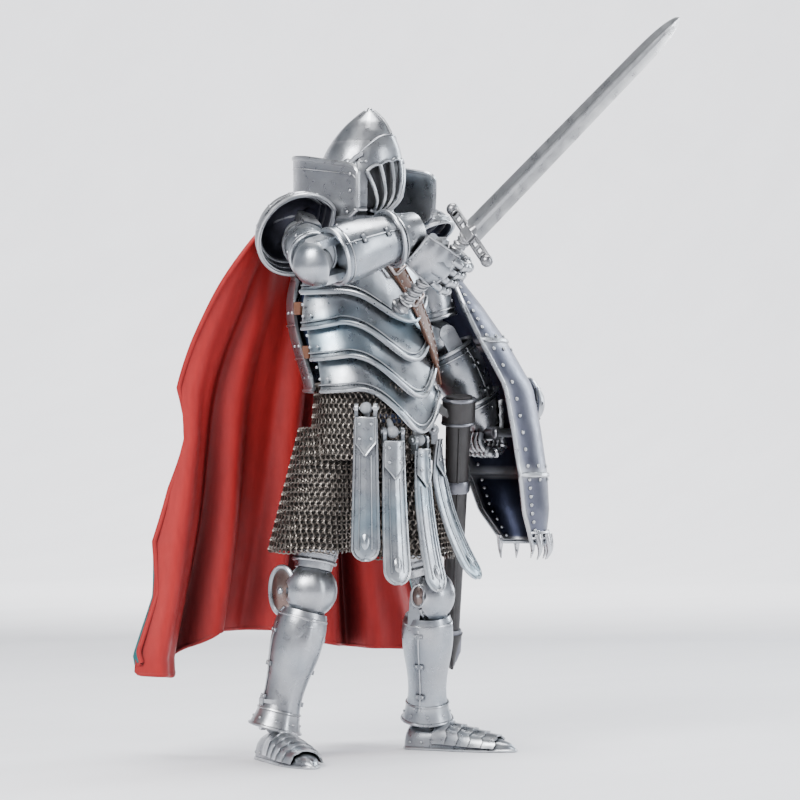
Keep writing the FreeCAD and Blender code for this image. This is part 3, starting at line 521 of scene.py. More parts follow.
SHIELD_FACE = painted_metal("shield_face_paint", (0.075, 0.08, 0.11), (0.17, 0.175, 0.22),
                            (0.10, 0.115, 0.19), (0.006, 0.006, 0.01), (0.3, 0.44))
# Painted shade: the near-black inside of the plates stands for the shade in the shield's hollow
SHIELD_HOLLOW_SHADE = painted_metal("shield_inside_shade", (0.010, 0.012, 0.024), (0.03, 0.034, 0.055),
                              (0.018, 0.022, 0.05), (0.002, 0.002, 0.004), (0.3, 0.45))
# Plastics: dark and light of the mottle, least and most roughness
GREY = plastic("grey_plastic", (0.20, 0.21, 0.22), (0.30, 0.31, 0.33), (0.4, 0.55))
NAVY = plastic("navy_plastic", (0.012, 0.02, 0.05), (0.03, 0.045, 0.10), (0.5, 0.7))
BLACK = plastic("slot_black", (0.006, 0.006, 0.008), (0.015, 0.015, 0.02), (0.5, 0.7))
# Painted shade: a near-black sheet that stands for the shade behind and between the mail links
MAIL_SHADE_SHEET = plastic("mail_shadow", (0.012, 0.010, 0.009), (0.03, 0.026, 0.022), (0.6, 0.8))
SHEATH = plastic("sheath_dark", (0.012, 0.011, 0.011), (0.035, 0.03, 0.03), (0.35, 0.55), grain=900)
LEATHER = leather("brown_strap")
RED = cape_paint("cape_red", (0.045, 0.001, 0.002), (0.27, 0.009, 0.010), (0.40, 0.022, 0.020))
TEAL = cape_paint("cape_teal", (0.001, 0.018, 0.021), (0.004, 0.075, 0.082), (0.010, 0.14, 0.145))


# ------------------------------------------------------------------ trunk

# Height, half width, depth in front, depth behind, middle
TRUNK = np.array((
    (76, 16.6, 15.0, 10.5, -3.6),
    (82, 17.3, 15.8, 10.8, -3.4),
    (90, 18.5, 16.6, 11.2, -2.1),
    (96, 19.3, 17.0, 11.5, 0.0),
    (104, 20.0, 17.4, 11.3, 2.3),
    (110, 20.0, 17.2, 10.8, 2.9),
    (117, 18.0, 15.5, 10.3, 2.6),
    (123, 15.0, 12.0, 9.5, 1.8),
    (128, 11.5, 9.5, 9.0, 1.2),
))
TRUNK_LINES = [np.polynomial.Polynomial.fit(TRUNK[:, 0], TRUNK[:, i], 5) for i in range(1, 5)]
SHOULDER = {side: pivot("shoulder_swing_" + side) for side in SIDES}
ELBOW = {side: pivot("elbow_bend_" + side) for side in SIDES}
WRIST = {side: pivot("wrist_turn_" + side) for side in SIDES}
HIP = {side: pivot("hip_swing_" + side) for side in SIDES}
KNEE = {side: pivot("knee_bend_" + side) for side in SIDES}
ANKLE = {side: pivot("ankle_tilt_" + side) for side in SIDES}
TOE_WAY = {"right": unit((-0.437, -0.9, 0)), "left": unit((0.306, -0.952, 0))}
OUTWARD = {"right": vec(-1, 0, 0), "left": vec(1, 0, 0)}
PLATE = 0.9                 # thickness of the trunk's plates
RIVET = 0.42
SMALL_RIVET = 0.36


def on_trunk(turn, height, off=0.0):
    """A point of the trunk's skin; turn 0 is in front and a quarter turn is the left flank."""
    turn, height, off = np.broadcast_arrays(np.asarray(turn, float), height, off)
    half, front, back, middle = (line(height) for line in TRUNK_LINES)
    depth = np.where(np.cos(turn) > 0, front, back)
    x = (half + off) * np.sin(turn)
    y = middle - (depth + off) * np.cos(turn)
    return np.stack([x, y, height + 0 * turn], -1)


def trunk_grid(turns, lows, highs, off, rows):
    """Rows from a lower to an upper edge; off gives how far each row stands out."""
    shares = np.linspace(0, 1, rows)
    levels = lows[None] + (highs - lows)[None] * shares[:, None]
    return on_trunk(turns[None], levels, off(shares)[:, None])


def edge_line(turns, side, near, front):
    """The wavy lower edge of a plate, deepest in front."""
    reach = np.minimum(np.abs(np.sin(turns)) / 0.8, 1)
    wave = (1 - np.cos(math.pi * reach)) / 2
    line = front + (near - front) * wave
    return line + (side - near) * np.clip((np.abs(np.sin(turns)) - 0.8) / 0.2, 0, 1)


# Lower edges at the side, near the side and in front: the chest plate, then the belly plates
PLATE_EDGES = ((112, 112, 105), (103, 104.5, 95.8), (95.6, 96.5, 86.9), (88, 88.5, 78.5))
# Name, body, lowest top edge and how far the top is tucked in
BELLY_PLATES = (("belly_plate_upper", "torso", 108, 2.0), ("belly_plate_middle", "torso", 100, 2.0),
                ("belly_plate_lower", "pelvis", 91.5, 3.0))


def bead(piece, turns, line, off, radius, sides=8):
    piece.tube(on_trunk(turns, line, off), radius, sides)


def side_rivets(piece, turns, line, off, rise):
    """One rivet for each turn, a little above an edge line."""
    for turn, height in zip(turns, line):
        here = on_trunk(turn, height + rise, off)
        out = on_trunk(turn, height + rise, off + 1) - here
        piece.dome(here, out, RIVET)


def add_trunk_plate(name, body, top, tuck, edges, above):
    """One belly plate, with a flared and rolled lower edge, a fine line above it and rivets."""
    piece = Piece()
    turns = np.radians(np.linspace(-85.5, 85.5, 61))
    low = edge_line(turns, *edges)
    high = np.maximum(edge_line(turns, *above) + 2.4, top)

    def off(share):
        return 0.75 * np.exp(-share * 7) - tuck * share - 0.1

    grid = trunk_grid(turns, low, high, off, 15)
    piece.sheet(grid, PLATE)
    bead(piece, turns, low, 0.55, 0.5)
    bead(piece, turns, low + 1.55, 0.36, 0.17, 6)
    ends = np.radians(np.array([-83, -76, 76, 83]))
    side_rivets(piece, ends, edge_line(ends, *edges), 0.3, 3.0)
    side_rivets(piece, ends[[0, 3]], edge_line(ends[[0, 3]], *edges), 0.1, 5.8)
    piece.make(name + "_look", body, [TINTED], [name])


def arm_cut(turns, top):
    """The height at which the plate's top meets the round cut for the arm."""
    reach = 10.6
    height = np.full_like(turns, top)
    for _ in range(12):
        y = on_trunk(turns, height)[..., 1]
        dip = SHOULDER["left"][2] - np.sqrt(np.clip(reach ** 2 - y ** 2, 0, None))
        height = np.minimum(height, np.where(np.abs(y) < reach, dip, top))
    return height


def smoothed(values, rounds=3):
    for _ in range(rounds):
        inner = (values[:-2] + 2 * values[1:-1] + values[2:]) / 4
        values = np.concatenate([values[:1], inner, values[-1:]])
    return values


def add_breastplate():
    """The chest plate with its keel, arm cuts and rolled edges."""
    piece = Piece()
    turns = np.radians(np.linspace(-85.5, 85.5, 73))
    low = edge_line(turns, *PLATE_EDGES[0])
    high = smoothed(arm_cut(turns, 125.4))
    high = np.maximum(high, low + 1.5)
    grid = trunk_grid(turns, low, high, lambda share: 0.5 * np.exp(-share * 9), 19)
    keel = 0.9 * np.exp(-(np.degrees(turns) / 9) ** 2)
    grid[..., 1] -= keel[None] * np.linspace(1, 0.3, 19)[:, None]
    piece.sheet(grid, PLATE)
    piece.tube(grid[0] + vec(0, -0.1, 0), 0.5)
    piece.tube(grid[-1], 0.55)
    bead(piece, turns, low + 1.5, 0.4, 0.17, 6)
    ends = np.radians(np.array([-80, -66, 66, 80]))
    side_rivets(piece, ends, edge_line(ends, *PLATE_EDGES[0]), 0.1, 2.6)
    piece.make("breastplate_look", "torso", [TINTED], ["breastplate"])


def add_backplate():
    """The back plate with two lame lines, rolled rims and rivets."""
    piece = Piece()
    turns = np.radians(np.linspace(94.5, 265.5, 61))
    low = np.full_like(turns, 88.4)
    high = smoothed(arm_cut(turns, 125.4))
    grid = trunk_grid(turns, low, high, lambda share: 0.5 * np.exp(-share * 9), 23)
    piece.sheet(grid, PLATE)
    piece.tube(grid[0], 0.5)
    piece.tube(grid[-1], 0.5)
    for height in (96, 104):
        bead(piece, turns, np.full_like(turns, height), 0.1, 0.28, 6)
    ends = np.radians(np.array([98, 108, 252, 262]))
    for height in (91.5, 99, 107):
        side_rivets(piece, ends, np.full(4, float(height)), 0.0, 0.0)
    piece.make("backplate_look", "torso", [STEEL], ["backplate"])


def add_gorget():
    """Two rings of throat lames round the neck."""
    piece = Piece()
    basis = Basis(vec(0, 0.6, 0), UP)
    for low, radius in ((125.9, 10.2), (128.2, 9.2)):
        piece.shell(basis, [(low, radius), (low + 1.2, radius - 0.35), (low + 2.6, radius - 0.9)], 0.7, 56)
        piece.tube(ring_path(basis, low, radius, 56), 0.32, 6, closed=True)
    piece.make("gorget_look", "torso", [STEEL], ["gorget"])


def guard_path(off):
    """Plan line of the standing collar: from the right front end round the back to the left."""
    count = 57
    straight, wide, deep, middle, front = 14, 14.5, 15.0, 1.5, -11.4
    line = [(-wide - off, front + (middle - front) * i / straight) for i in range(straight)]
    angle = np.linspace(math.pi, 0, count - 2 * straight)
    line += [((wide + off) * math.cos(a), middle + (deep + off) * math.sin(a)) for a in angle]
    line += [(wide + off, middle + (front - middle) * (i + 1) / straight) for i in range(straight)]
    return np.array(line)


def add_neck_guard():
    """The standing collar with rolled rims, front corners and rivets at its foot."""
    piece = Piece()
    plan = guard_path(0)
    low = np.full(len(plan), 129.6)
    low = low + np.interp(plan[:, 1], (-11.4, -9.5, -6, 0), (1.6, 0.3, 0, 0))
    high = np.interp(plan[:, 1], (-11.4, -10.4, -8.5, 5, 16.5), (140.2, 141.6, 142.2, 144.6, 145.8))
    rows = []
    for share in np.linspace(0, 1, 13):
        spread = 1 + 0.018 * math.sin(math.pi * share) + 0.025 * share ** 3
        height = low + (high - low) * share
        rows.append(np.stack([plan[:, 0] * spread, 1.5 + (plan[:, 1] - 1.5) * spread, height], -1))
    grid = np.array(rows)[::-1]
    outward = guard_path(1) - plan
    outward = np.concatenate([outward, np.zeros((len(plan), 1))], 1)
    piece.wall(grid, grid - outward[None] * 1.1)
    border = np.vstack([grid[:, 0][::-1][1:-1], grid[0], grid[:, -1][1:-1]])
    piece.tube(border - np.sign(border[:, :1]) * vec(0.5, 0, 0), 0.72)
    piece.tube(grid[-1], 0.5)
    piece.tube(grid[2], 0.18, 6)
    for i in range(3, len(plan) - 3, 5):
        piece.dome(grid[-2][i] + outward[i] * 0.05, outward[i], 0.5)
    for column in (2, len(plan) - 3):
        for row in (2, 6):
            piece.dome(grid[row][column] + outward[column] * 0.05, outward[column], 0.5)
    piece.make("neck_guard_look", "torso", [STEEL], ["neck_guard"])


def add_baldric():
    """The shoulder belt with two rows of studs and a metal buckle."""
    piece = Piece()
    count = 41
    heights = np.linspace(91.3, 124.6, count)
    centres = np.interp(heights, (90, 126), (15.6, -6.0))
    rows = []
    for height, centre in zip(heights, centres):
        row = []
        for across in np.linspace(-2.2, 2.2, 7):
            x = centre + across * 0.86
            z = height + across * 0.5
            half = TRUNK_LINES[0](z) + 0.8
            turn = math.asin(np.clip(x / half, -1, 1))
            row.append(on_trunk(turn, z, 1.25 - 0.2 * (across / 2.2) ** 2))
        rows.append(row)
    grid = np.array(rows)
    piece.sheet(grid, 0.75)
    out = normals(grid)
    for i in range(1, count - 1, 2):
        for column in (1, 5):
            piece.dome(grid[i, column], out[i, column], 0.36, slot=1)
    for column in (0, 6):
        piece.tube(grid[:, column], 0.3, 6)
    piece.make("baldric_look", "torso", [LEATHER, BRONZE], ["baldric"])
    buckle = Piece()
    for i in (24, 33):
        centre = grid[i, 3] + out[i, 3] * 0.55
        along = unit(grid[i + 1, 3] - grid[i - 1, 3])
        across = unit(np.cross(out[i, 3], along))
        frame_line = [(-3.0, -1.7), (3.0, -1.7), (3.0, 1.7), (-3.0, 1.7)]
        corners = [centre + across * a + along * b for a, b in frame_line]
        path = []
        for near, far in zip(corners, corners[1:] + corners[:1]):
            path += [near + (far - near) * share for share in (0.12, 0.5, 0.88)]
        buckle.tube(path, 0.42, 8, closed=True)
        buckle.tube([centre - along * 1.7, centre + along * 1.9], 0.3, 6)
    buckle.make("baldric_buckles", "torso", [BRONZE])


# ------------------------------------------------------------------ head

FACE = unit((0.242, -0.970, 0))
HELMET = ((132.3, 8.9), (134, 9.5), (137.5, 9.95), (141, 10.05), (144.2, 9.6), (147.2, 8.75),
          (150.5, 7.1), (152.5, 5.75), (154.3, 4.25), (156.2, 1.9), (157.1, 0.5))
HELMET_LINE = smooth_line(HELMET, 90)
TIP_LEAN = 2.9              # how far the point of the skull leans towards the face


def on_helmet(turn, height, off=0.0):
    """A point of the skull; turn 0 is at the middle of the face, positive to the figure's left."""
    turn, height = np.broadcast_arrays(np.asarray(turn, float), np.asarray(height, float))
    radius = np.interp(height, HELMET_LINE[:, 0], HELMET_LINE[:, 1]) + off
    keel = 1 + 0.035 * np.exp(-(turn / 0.28) ** 2)
    lean = np.clip((height - 140) / 17.5, 0, 1) ** 1.5 * TIP_LEAN
    side = vec(-FACE[1], FACE[0], 0)
    ahead = radius * np.cos(turn) * keel + lean
    across = radius * np.sin(turn)
    return FACE * ahead[..., None] + side * across[..., None] + UP * height[..., None]


def add_helmet():
    """The pointed skull with its comb, a rolled rim and rivets."""
    piece = Piece()
    turns = np.radians(np.linspace(52, 308, 73))
    rows = np.array([on_helmet(turns, z) for z in np.linspace(132.3, 149.0, 22)])
    piece.sheet(rows, 1.0)
    full = np.radians(np.linspace(-54, 306, 109)[:-1])
    levels = HELMET_LINE[HELMET_LINE[:, 0] > 148.9, 0]
    top = np.array([on_helmet(full, z) for z in levels])
    piece.grid(top, close_v=True)
    piece.dome(FACE * TIP_LEAN * 0.97 + UP * 156.9, UP, 0.8, 0.8)
    comb = [on_helmet(math.pi, z, 0.12) for z in np.linspace(134, 156.8, 28)]
    piece.tube(comb, 0.42, 8)
    front = [on_helmet(0.0, h, 0.12) for h in np.linspace(151, 156.8, 10)]
    piece.tube(front, 0.38, 8)
    piece.tube(rows[0], 0.6)
    for turn in np.radians(np.arange(75, 290, 24)):
        piece.dome(on_helmet(turn, 134.6), on_helmet(turn, 134.6, 1) - on_helmet(turn, 134.6), RIVET)
    piece.make("helmet_look", "head", [STEEL], ["helmet"])


VISOR_HALF = math.radians(66)       # how far the face plate reaches to each side
GRILLE_HALF = math.radians(54)      # how far the slots reach to each side


def visor_low(turn):
    """Height of the plate's lower edge: it rises from the chin to the cheeks."""
    return 131.8 + 1.2 * (np.abs(turn) / VISOR_HALF) ** 2


def grille_top(turn):
    """Top of the breathing slots, an arch over the chin."""
    return 144.2 - 3.0 * (np.abs(turn) / GRILLE_HALF) ** 2


def on_visor(turn, height, off=0.0):
    """A point of the face plate, which draws in towards the chin below the skull's own line."""
    draw = np.interp(height, (131.8, 132.5, 133.3, 134.5, 136, 139.7, 143, 150),
                     (-3.6, -2.9, -1.8, -1.0, -0.4, 0.0, 0.0, 0.0))
    return on_helmet(turn, height, off + draw)


def add_visor():
    """The face plate: a smooth brow above a fan of six dark slots between raised ribs."""
    piece = Piece()
    turns = np.linspace(-VISOR_HALF, VISOR_HALF, 57)
    inside = np.abs(turns) < GRILLE_HALF
    low = np.where(inside, grille_top(turns), visor_low(turns))
    low = smoothed(low, 1)
    high = 150.6 - 5.0 * (np.abs(turns) / VISOR_HALF) ** 3
    rows = []
    for share in np.linspace(0, 1, 13):
        rows.append(on_visor(turns, low + (high - low) * share, 0.6 - 0.2 * share ** 4))
    grid = np.array(rows)
    piece.sheet(grid, 0.8)
    piece.tube(grid[-1], 0.24)
    arch = np.linspace(-GRILLE_HALF, GRILLE_HALF, 41)
    slots = 6
    scallop = 0.55 * np.abs(np.sin((arch / GRILLE_HALF + 1) / 2 * slots * math.pi))
    piece.tube(on_visor(arch, grille_top(arch) + scallop, 0.75), 0.42)
    floor = [on_visor(arch, visor_low(arch) + (grille_top(arch) - visor_low(arch)) * share, -0.35)
             for share in np.linspace(0, 1, 9)]
    piece.sheet(np.array(floor), 0.5, slot=1)
    for turn in np.linspace(-GRILLE_HALF, GRILLE_HALF, slots + 1):
        foot_turn, foot = turn * 0.55, 132.0
        path = []
        for share in np.linspace(0, 1, 9):
            here = foot_turn + (turn - foot_turn) * share
            height = foot + (grille_top(turn) + 0.1 - foot) * share
            path.append(on_visor(here, height, 0.55 + 0.3 * math.sin(math.pi * share)))
        piece.tube(path, 0.4 + 0.2 * np.linspace(0, 1, 9), 8)
    chin = np.linspace(-VISOR_HALF * 0.62, VISOR_HALF * 0.62, 27)
    piece.tube(on_visor(chin, visor_low(chin) + 0.1, 0.5), 0.55)
    for turn in np.radians((-62, -56, 56, 62)):
        out = on_visor(turn, 143.6, 2) - on_visor(turn, 143.6, 1)
        piece.dome(on_visor(turn, 143.6, 0.55), out, 0.4)
    for end in (-1, 1):
        turn = end * math.radians(78)
        here = on_visor(turn, 142.5, 0.35)
        out = on_visor(turn, 142.5, 2) - here
        piece.dome(here, out, 2.0, 0.9, sides=20)
        piece.dome(here + unit(out) * 0.8, out, 0.7, 0.6)
        arm = [on_visor(end * math.radians(degrees), height, 0.75)
               for degrees, height in ((62, 145.5), (70, 144.5), (78, 142.8))]
        piece.tube(arm, 1.0, 8, flatten=0.5)
    piece.make("visor_look", "head", [STEEL, BLACK], ["visor"])


# ------------------------------------------------------------------ legs

def keeled(strength, at=math.pi / 2):
    """A section with a raised keel along one side."""
    def shape(angle):
        off = np.angle(np.exp(1j * (angle - at)))
        return 1 + strength * np.exp(-(off / 0.24) ** 2)
    return shape


def knee_axis(side):
    return unit(np.cross(UP, TOE_WAY[side]))


def leg_basis(start, end, side):
    """Along a leg bone; its +Y faces the toes and +X is to the figure's left or right."""
    basis = Basis(start, end - start)
    ahead = TOE_WAY[side]
    basis.y = unit(ahead - basis.z * np.dot(ahead, basis.z))
    basis.x = np.cross(basis.y, basis.z)
    return basis


def surface_at(basis, angle, height, radius):
    """A point and outward direction on a round limb."""
    out = basis.x * math.cos(angle) + basis.y * math.sin(angle)
    return basis.origin + basis.z * height + out * radius, out


def profile_radius(profile, height):
    return float(np.interp(height, [z for z, _ in profile], [r for _, r in profile]))


def hinge_line(piece, basis, profile, angle, heights):
    """A seam down a limb with a clasp and a rivet at each height."""
    levels = np.linspace(profile[0][0] + 0.8, profile[-1][0] - 0.8, 14)
    line = [surface_at(basis, angle, z, profile_radius(profile, z) + 0.05)[0] for z in levels]
    piece.tube(line, 0.2, 6)
    for height in heights:
        here, out = surface_at(basis, angle, height, profile_radius(profile, height) + 0.1)
        side = np.cross(out, basis.z)
        piece.box(here, side * 1.15, basis.z * 0.55, out * 0.3)
        piece.dome(here + side * 0.7 + out * 0.25, out, SMALL_RIVET)
        piece.dome(here - side * 0.7 + out * 0.25, out, SMALL_RIVET)


def add_shin(side):
    """The greave: a swelling calf, a keel down the front, a flared bell at the ankle."""
    piece = Piece()
    basis = leg_basis(ANKLE[side], KNEE[side], side)
    length = np.linalg.norm(KNEE[side] - ANKLE[side])
    calf = ((1.6, 5.25), (4.6, 4.85), (8, 4.75), (12, 5.15), (16, 5.85), (20, 6.3), (24, 6.1),
            (length - 6.6, 5.6))
    shape = keeled(0.055)
    piece.turned(basis, smooth_line(calf, 30), 56, shape=shape)
    piece.shell(basis, ((-0.9, 6.3), (0.2, 6.0), (1.6, 5.5), (3.4, 5.15)), 0.7, 56, shape)
    rims = ((-0.8, 6.25, 0.42, 8), (3.4, 5.2, 0.3, 6), (length - 6.7, 5.7, 0.45, 8),
            (length - 8.4, 5.95, 0.2, 6))
    for height, radius, thick, sides in rims:
        piece.tube(ring_path(basis, height, radius, shape=shape), thick, sides, closed=True)
    for angle in (0.0, math.pi):
        hinge_line(piece, basis, calf, angle, (6, 14, 22))
    piece.rivet_ring(basis, 8, 1.0, 5.75, SMALL_RIVET, 0.5)
    piece.make("greave_look_" + side, "shin_" + side, [STEEL])


KNEE_COP = 5.85             # radius of the knee's half ball
KNEE_LAME = 6.2             # radius of the lames above and below it


def add_knee(side):
    """The knee cop: a keeled half ball, a lame above and below, and a bean-shaped wing outside."""
    piece = Piece()
    centre = KNEE[side]
    toe = TOE_WAY[side]
    across = knee_axis(side)
    basis = Basis(centre, across, toe)
    rows = []
    for lift in np.radians(np.linspace(-72, 72, 21)):
        row = []
        for angle in np.radians(np.linspace(-74, 74, 25)):
            keel = 1 + 0.07 * math.exp(-(math.degrees(lift) / 13) ** 2) * math.cos(angle)
            out = (basis.x * math.cos(angle) + basis.y * math.sin(angle)) * math.cos(lift)
            row.append(centre + (out + basis.z * math.sin(lift)) * KNEE_COP * keel)
        rows.append(row)
    grid = np.array(rows)
    piece.sheet(grid[:, ::-1], 0.8)
    piece.tube(border_of(grid), 0.42, 8, closed=True)
    for sign in (-1, 1):
        rows = []
        for angle in np.radians(np.linspace(52, 88, 5)) * sign:
            row = []
            for lift in np.radians(np.linspace(-58, 58, 19)):
                out = basis.x * math.cos(angle) + basis.y * math.sin(angle)
                row.append(centre + (out * math.cos(lift) + basis.z * math.sin(lift)) * KNEE_LAME)
            rows.append(row)
        lame = np.array(rows)
        piece.sheet(lame if sign < 0 else lame[::-1], 0.6)
        piece.tube(lame[-1], 0.36, 8)
        for column in (2, 16):
            piece.dome(lame[3, column], lame[3, column] - centre, RIVET)
    outer = across if np.dot(across, OUTWARD[side]) > 0 else -across
    facing = unit(outer + toe * 0.55)
    add_wing(piece, centre + outer * 6.3 - toe * 1.6, facing, UP, unit(np.cross(UP, facing)), 1.18)
    add_wing(piece, centre - outer * 6.0, -outer, UP, toe, 0.55)
    body = "knee_guard_" + side
    piece.make("knee_look_" + side, body, [STEEL, BRONZE], [body])


def add_wing(piece, centre, out, up, ahead, scale):
    """A bean-shaped plate beside the knee, with a rolled rim and a rivet in its middle."""
    outline = []
    for turn in np.linspace(0, 2 * math.pi, 40, endpoint=False):
        notch = 0.75 * math.exp(-(np.angle(np.exp(1j * turn)) / 0.45) ** 2)
        reach = 4.3 - 0.95 * math.cos(turn) ** 2 - notch
        outline.append(centre + (ahead * math.cos(turn) * 0.92 + up * math.sin(turn) * 1.12) * reach * scale)
    outline = np.array(outline)
    rings = [centre + (outline - centre) * share + out * (0.9 - 0.75 * share ** 2) * scale
             for share in (1.0, 0.8, 0.55, 0.3, 0.06)]
    grid = np.array(rings)
    piece.wall(grid, grid - out * 0.5, close_v=True, slot=1)
    piece.tube(outline + out * 0.15 * scale, 0.42 * scale + 0.12, 8, closed=True)
    piece.dome(centre + out * 0.8 * scale, out, 0.75 * scale)


def add_foot(side):
    """The sabaton: a heel cup, a plain instep, five saw-edged lames and a pointed toe."""
    piece = Piece()
    toe, across = TOE_WAY[side], knee_axis(side)
    base = vec(ANKLE[side][0], ANKLE[side][1], 0)
    # Distance ahead of the ankle, half width, height
    stations = ((-5.0, 2.6, 3.6), (-4.2, 3.6, 5.4), (-2, 4.1, 6.0), (1.5, 4.15, 6.2), (5, 4.2, 6.1),
                (9, 4.45, 5.3), (13, 4.45, 4.4), (17, 3.9, 3.5), (20, 2.9, 2.7), (22.2, 1.7, 1.9),
                (23.4, 0.5, 0.9))
    line = smooth_line(stations, 45)

    def section(ahead, half, height, grow=0.0):
        points = []
        for angle in np.linspace(0, math.pi, 21):
            x = (half + grow) * math.copysign(abs(math.cos(angle)) ** 0.75, math.cos(angle))
            z = (height + grow) * math.sin(angle) ** 0.72
            peak = 1 + 0.08 * math.exp(-((angle - math.pi / 2) / 0.3) ** 2)
            points.append(base + toe * ahead + across * x + UP * max(z * peak, 0.0))
        return points

    rows = [section(a, max(h, 0.3), max(z, 0.4)) for a, h, z in line]
    grid = np.array(rows)
    piece.grid(grid, close_v=True, flip=True)
    piece.cap_ends(len(grid), grid.shape[1], flip=True)
    places = np.linspace(-5, 23.4, 60)
    halves, tops = (np.interp(places, line[:, 0], line[:, i]) for i in (1, 2))
    for start in (6.5, 9.6, 12.7, 15.8, 18.9):
        rows = []
        for share in np.linspace(0, 1, 5):
            ahead = start - 3.4 * share
            half = np.interp(ahead, places, halves)
            top = np.interp(ahead, places, tops)
            row = np.array(section(ahead, half, top, 0.5 - 0.38 * share))[1:-1]
            if share == 0:
                teeth = 0.55 * np.abs(np.arange(len(row)) % 4 - 2) / 2
                row = row + toe * teeth[:, None]
            rows.append(row)
        lame = np.array(rows)
        piece.sheet(lame[::-1][:, ::-1], 0.45)
        for column in (1, len(lame[0]) - 2):
            out = lame[2, column] - (base + toe * (start - 1.7) + UP * 1.5)
            piece.dome(lame[2, column], out, 0.34)
    rim = np.array([row[0] for row in grid] + [row[-1] for row in grid[::-1]]) + UP * 0.4
    piece.tube(rim, 0.38, 6, closed=True)
    for ahead in (-3, 0, 3):
        half = np.interp(ahead, places, halves)
        for sign in (-1, 1):
            piece.dome(base + toe * ahead + across * half * sign * 0.99 + UP * 1.9, across * sign, 0.4)
    piece.make("sabaton_look_" + side, "foot_" + side, [STEEL], ["foot_" + side])


def add_thigh(side):
    """The cuisse above the knee: a band of plate with a rolled lower rim."""
    piece = Piece()
    basis = leg_basis(KNEE[side], HIP[side], side)
    profile = ((6.9, 4.95), (9, 5.35), (13, 5.75), (18, 5.9), (24, 5.6))
    shape = keeled(0.05)
    piece.turned(basis, smooth_line(profile, 16), 52, shape=shape)
    piece.tube(ring_path(basis, 7.0, 5.1, shape=shape), 0.45, 8, closed=True)
    piece.tube(ring_path(basis, 8.7, 5.35, shape=shape), 0.2, 6, closed=True)
    for angle in (0.0, math.pi):
        hinge_line(piece, basis, profile, angle, (11,))
    piece.make("cuisse_look_" + side, "thigh_" + side, [STEEL])


# ------------------------------------------------------------------ mail

SKIRT_LOW = {"right": vec(-14.8, 2.1, 50), "left": vec(12.8, -4.5, 48)}
SKIRT_RADIUS = {"right": 10.3, "left": 11.2}
SKIRT_TOP = 7.8
LINK = 0.74                 # radius of a mail link
LINK_WIRE = 0.21


def add_links(piece, places, outs, downs, tilts):
    """One ring for each place, lying on the cloth and turned a little about the way it hangs."""
    sides, wire = 8, 4
    around = np.linspace(0, 2 * math.pi, sides, endpoint=False)
    about = np.linspace(0, 2 * math.pi, wire, endpoint=False)
    reach = LINK + LINK_WIRE * np.cos(about)[None]
    x = (np.cos(around)[:, None] * reach).ravel()
    y = (np.sin(around)[:, None] * reach).ravel()
    z = np.tile(LINK_WIRE * np.sin(about), sides)
    faces = []
    for i in range(sides):
        for j in range(wire):
            a, b = i * wire + j, i * wire + (j + 1) % wire
            c, d = ((i + 1) % sides) * wire + (j + 1) % wire, ((i + 1) % sides) * wire + j
            faces.append((a, d, c, b))
    for place, out, down, tilt in zip(places, outs, downs, tilts):
        side = np.cross(out, down)
        x_way = side * math.cos(tilt) + out * math.sin(tilt)
        z_way = out * math.cos(tilt) - side * math.sin(tilt)
        piece.add(place + np.outer(x, x_way) + np.outer(y, down) + np.outer(z, z_way), faces)


def weave(piece, surface, rows, round_at):
    """Rows of links over a surface given as a function of share down and share round."""
    places, outs, downs, tilts = [], [], [], []
    for row, down_share in enumerate(np.linspace(0, 1, rows)):
        count = round_at(down_share)
        steps = (np.arange(count) + 0.5 * (row % 2)) / count
        for step in steps:
            here = surface(down_share, step)
            along = surface(down_share, step + 0.004) - surface(down_share, step - 0.004)
            down = surface(min(down_share + 0.01, 1), step) - surface(max(down_share - 0.01, 0), step)
            if np.linalg.norm(along) < 1e-4:
                continue
            down = unit(down)
            out = np.cross(down, along)
            if np.linalg.norm(out) < 1e-6:
                continue
            places.append(here)
            outs.append(unit(out))
            downs.append(down)
            tilts.append(0.5 if row % 2 else -0.5)
    add_links(piece, places, outs, downs, tilts)


def add_skirt(side):
    """The mail round one thigh: links over a near-black sheet of painted shade."""
    inner = 1.6 if side == "left" else -1.6

    def surface(down, step, off=0.0):
        share = 0.1 + 0.9 * down
        centre = HIP[side] + (SKIRT_LOW[side] - HIP[side]) * share
        size = SKIRT_TOP + (SKIRT_RADIUS[side] - SKIRT_TOP) * share - 0.1 + off
        angle = -2 * math.pi * step
        x = centre[0] + size * math.cos(angle)
        x = max(x, inner) if side == "left" else min(x, inner)
        y = centre[1] + size * math.sin(angle)
        wave = 0.35 * math.sin(5 * angle + 1.3) * down ** 2
        return vec(x, y, 82 + (SKIRT_LOW[side][2] + 0.4 - 82) * share + 0.6 * wave) + vec(wave, wave, 0)

    piece = Piece()
    weave(piece, surface, 27, lambda share: int(2 * math.pi * (SKIRT_TOP + 2.6 * share) / 1.42))
    piece.make("mail_links_" + side, "thigh_" + side, [MAIL], ["mail_skirt_" + side])
    # painted shade: a dark sheet behind the links
    shade_sheet = Piece()
    grid = np.array([[surface(down, -step, -0.55) for step in np.linspace(0, 1, 49)[:-1]]
                     for down in np.linspace(1, 0, 25)])
    shade_sheet.sheet(grid, 0.5, close_v=True)
    shade_sheet.make("mail_shade_sheet_" + side, "thigh_" + side, [MAIL_SHADE_SHEET])


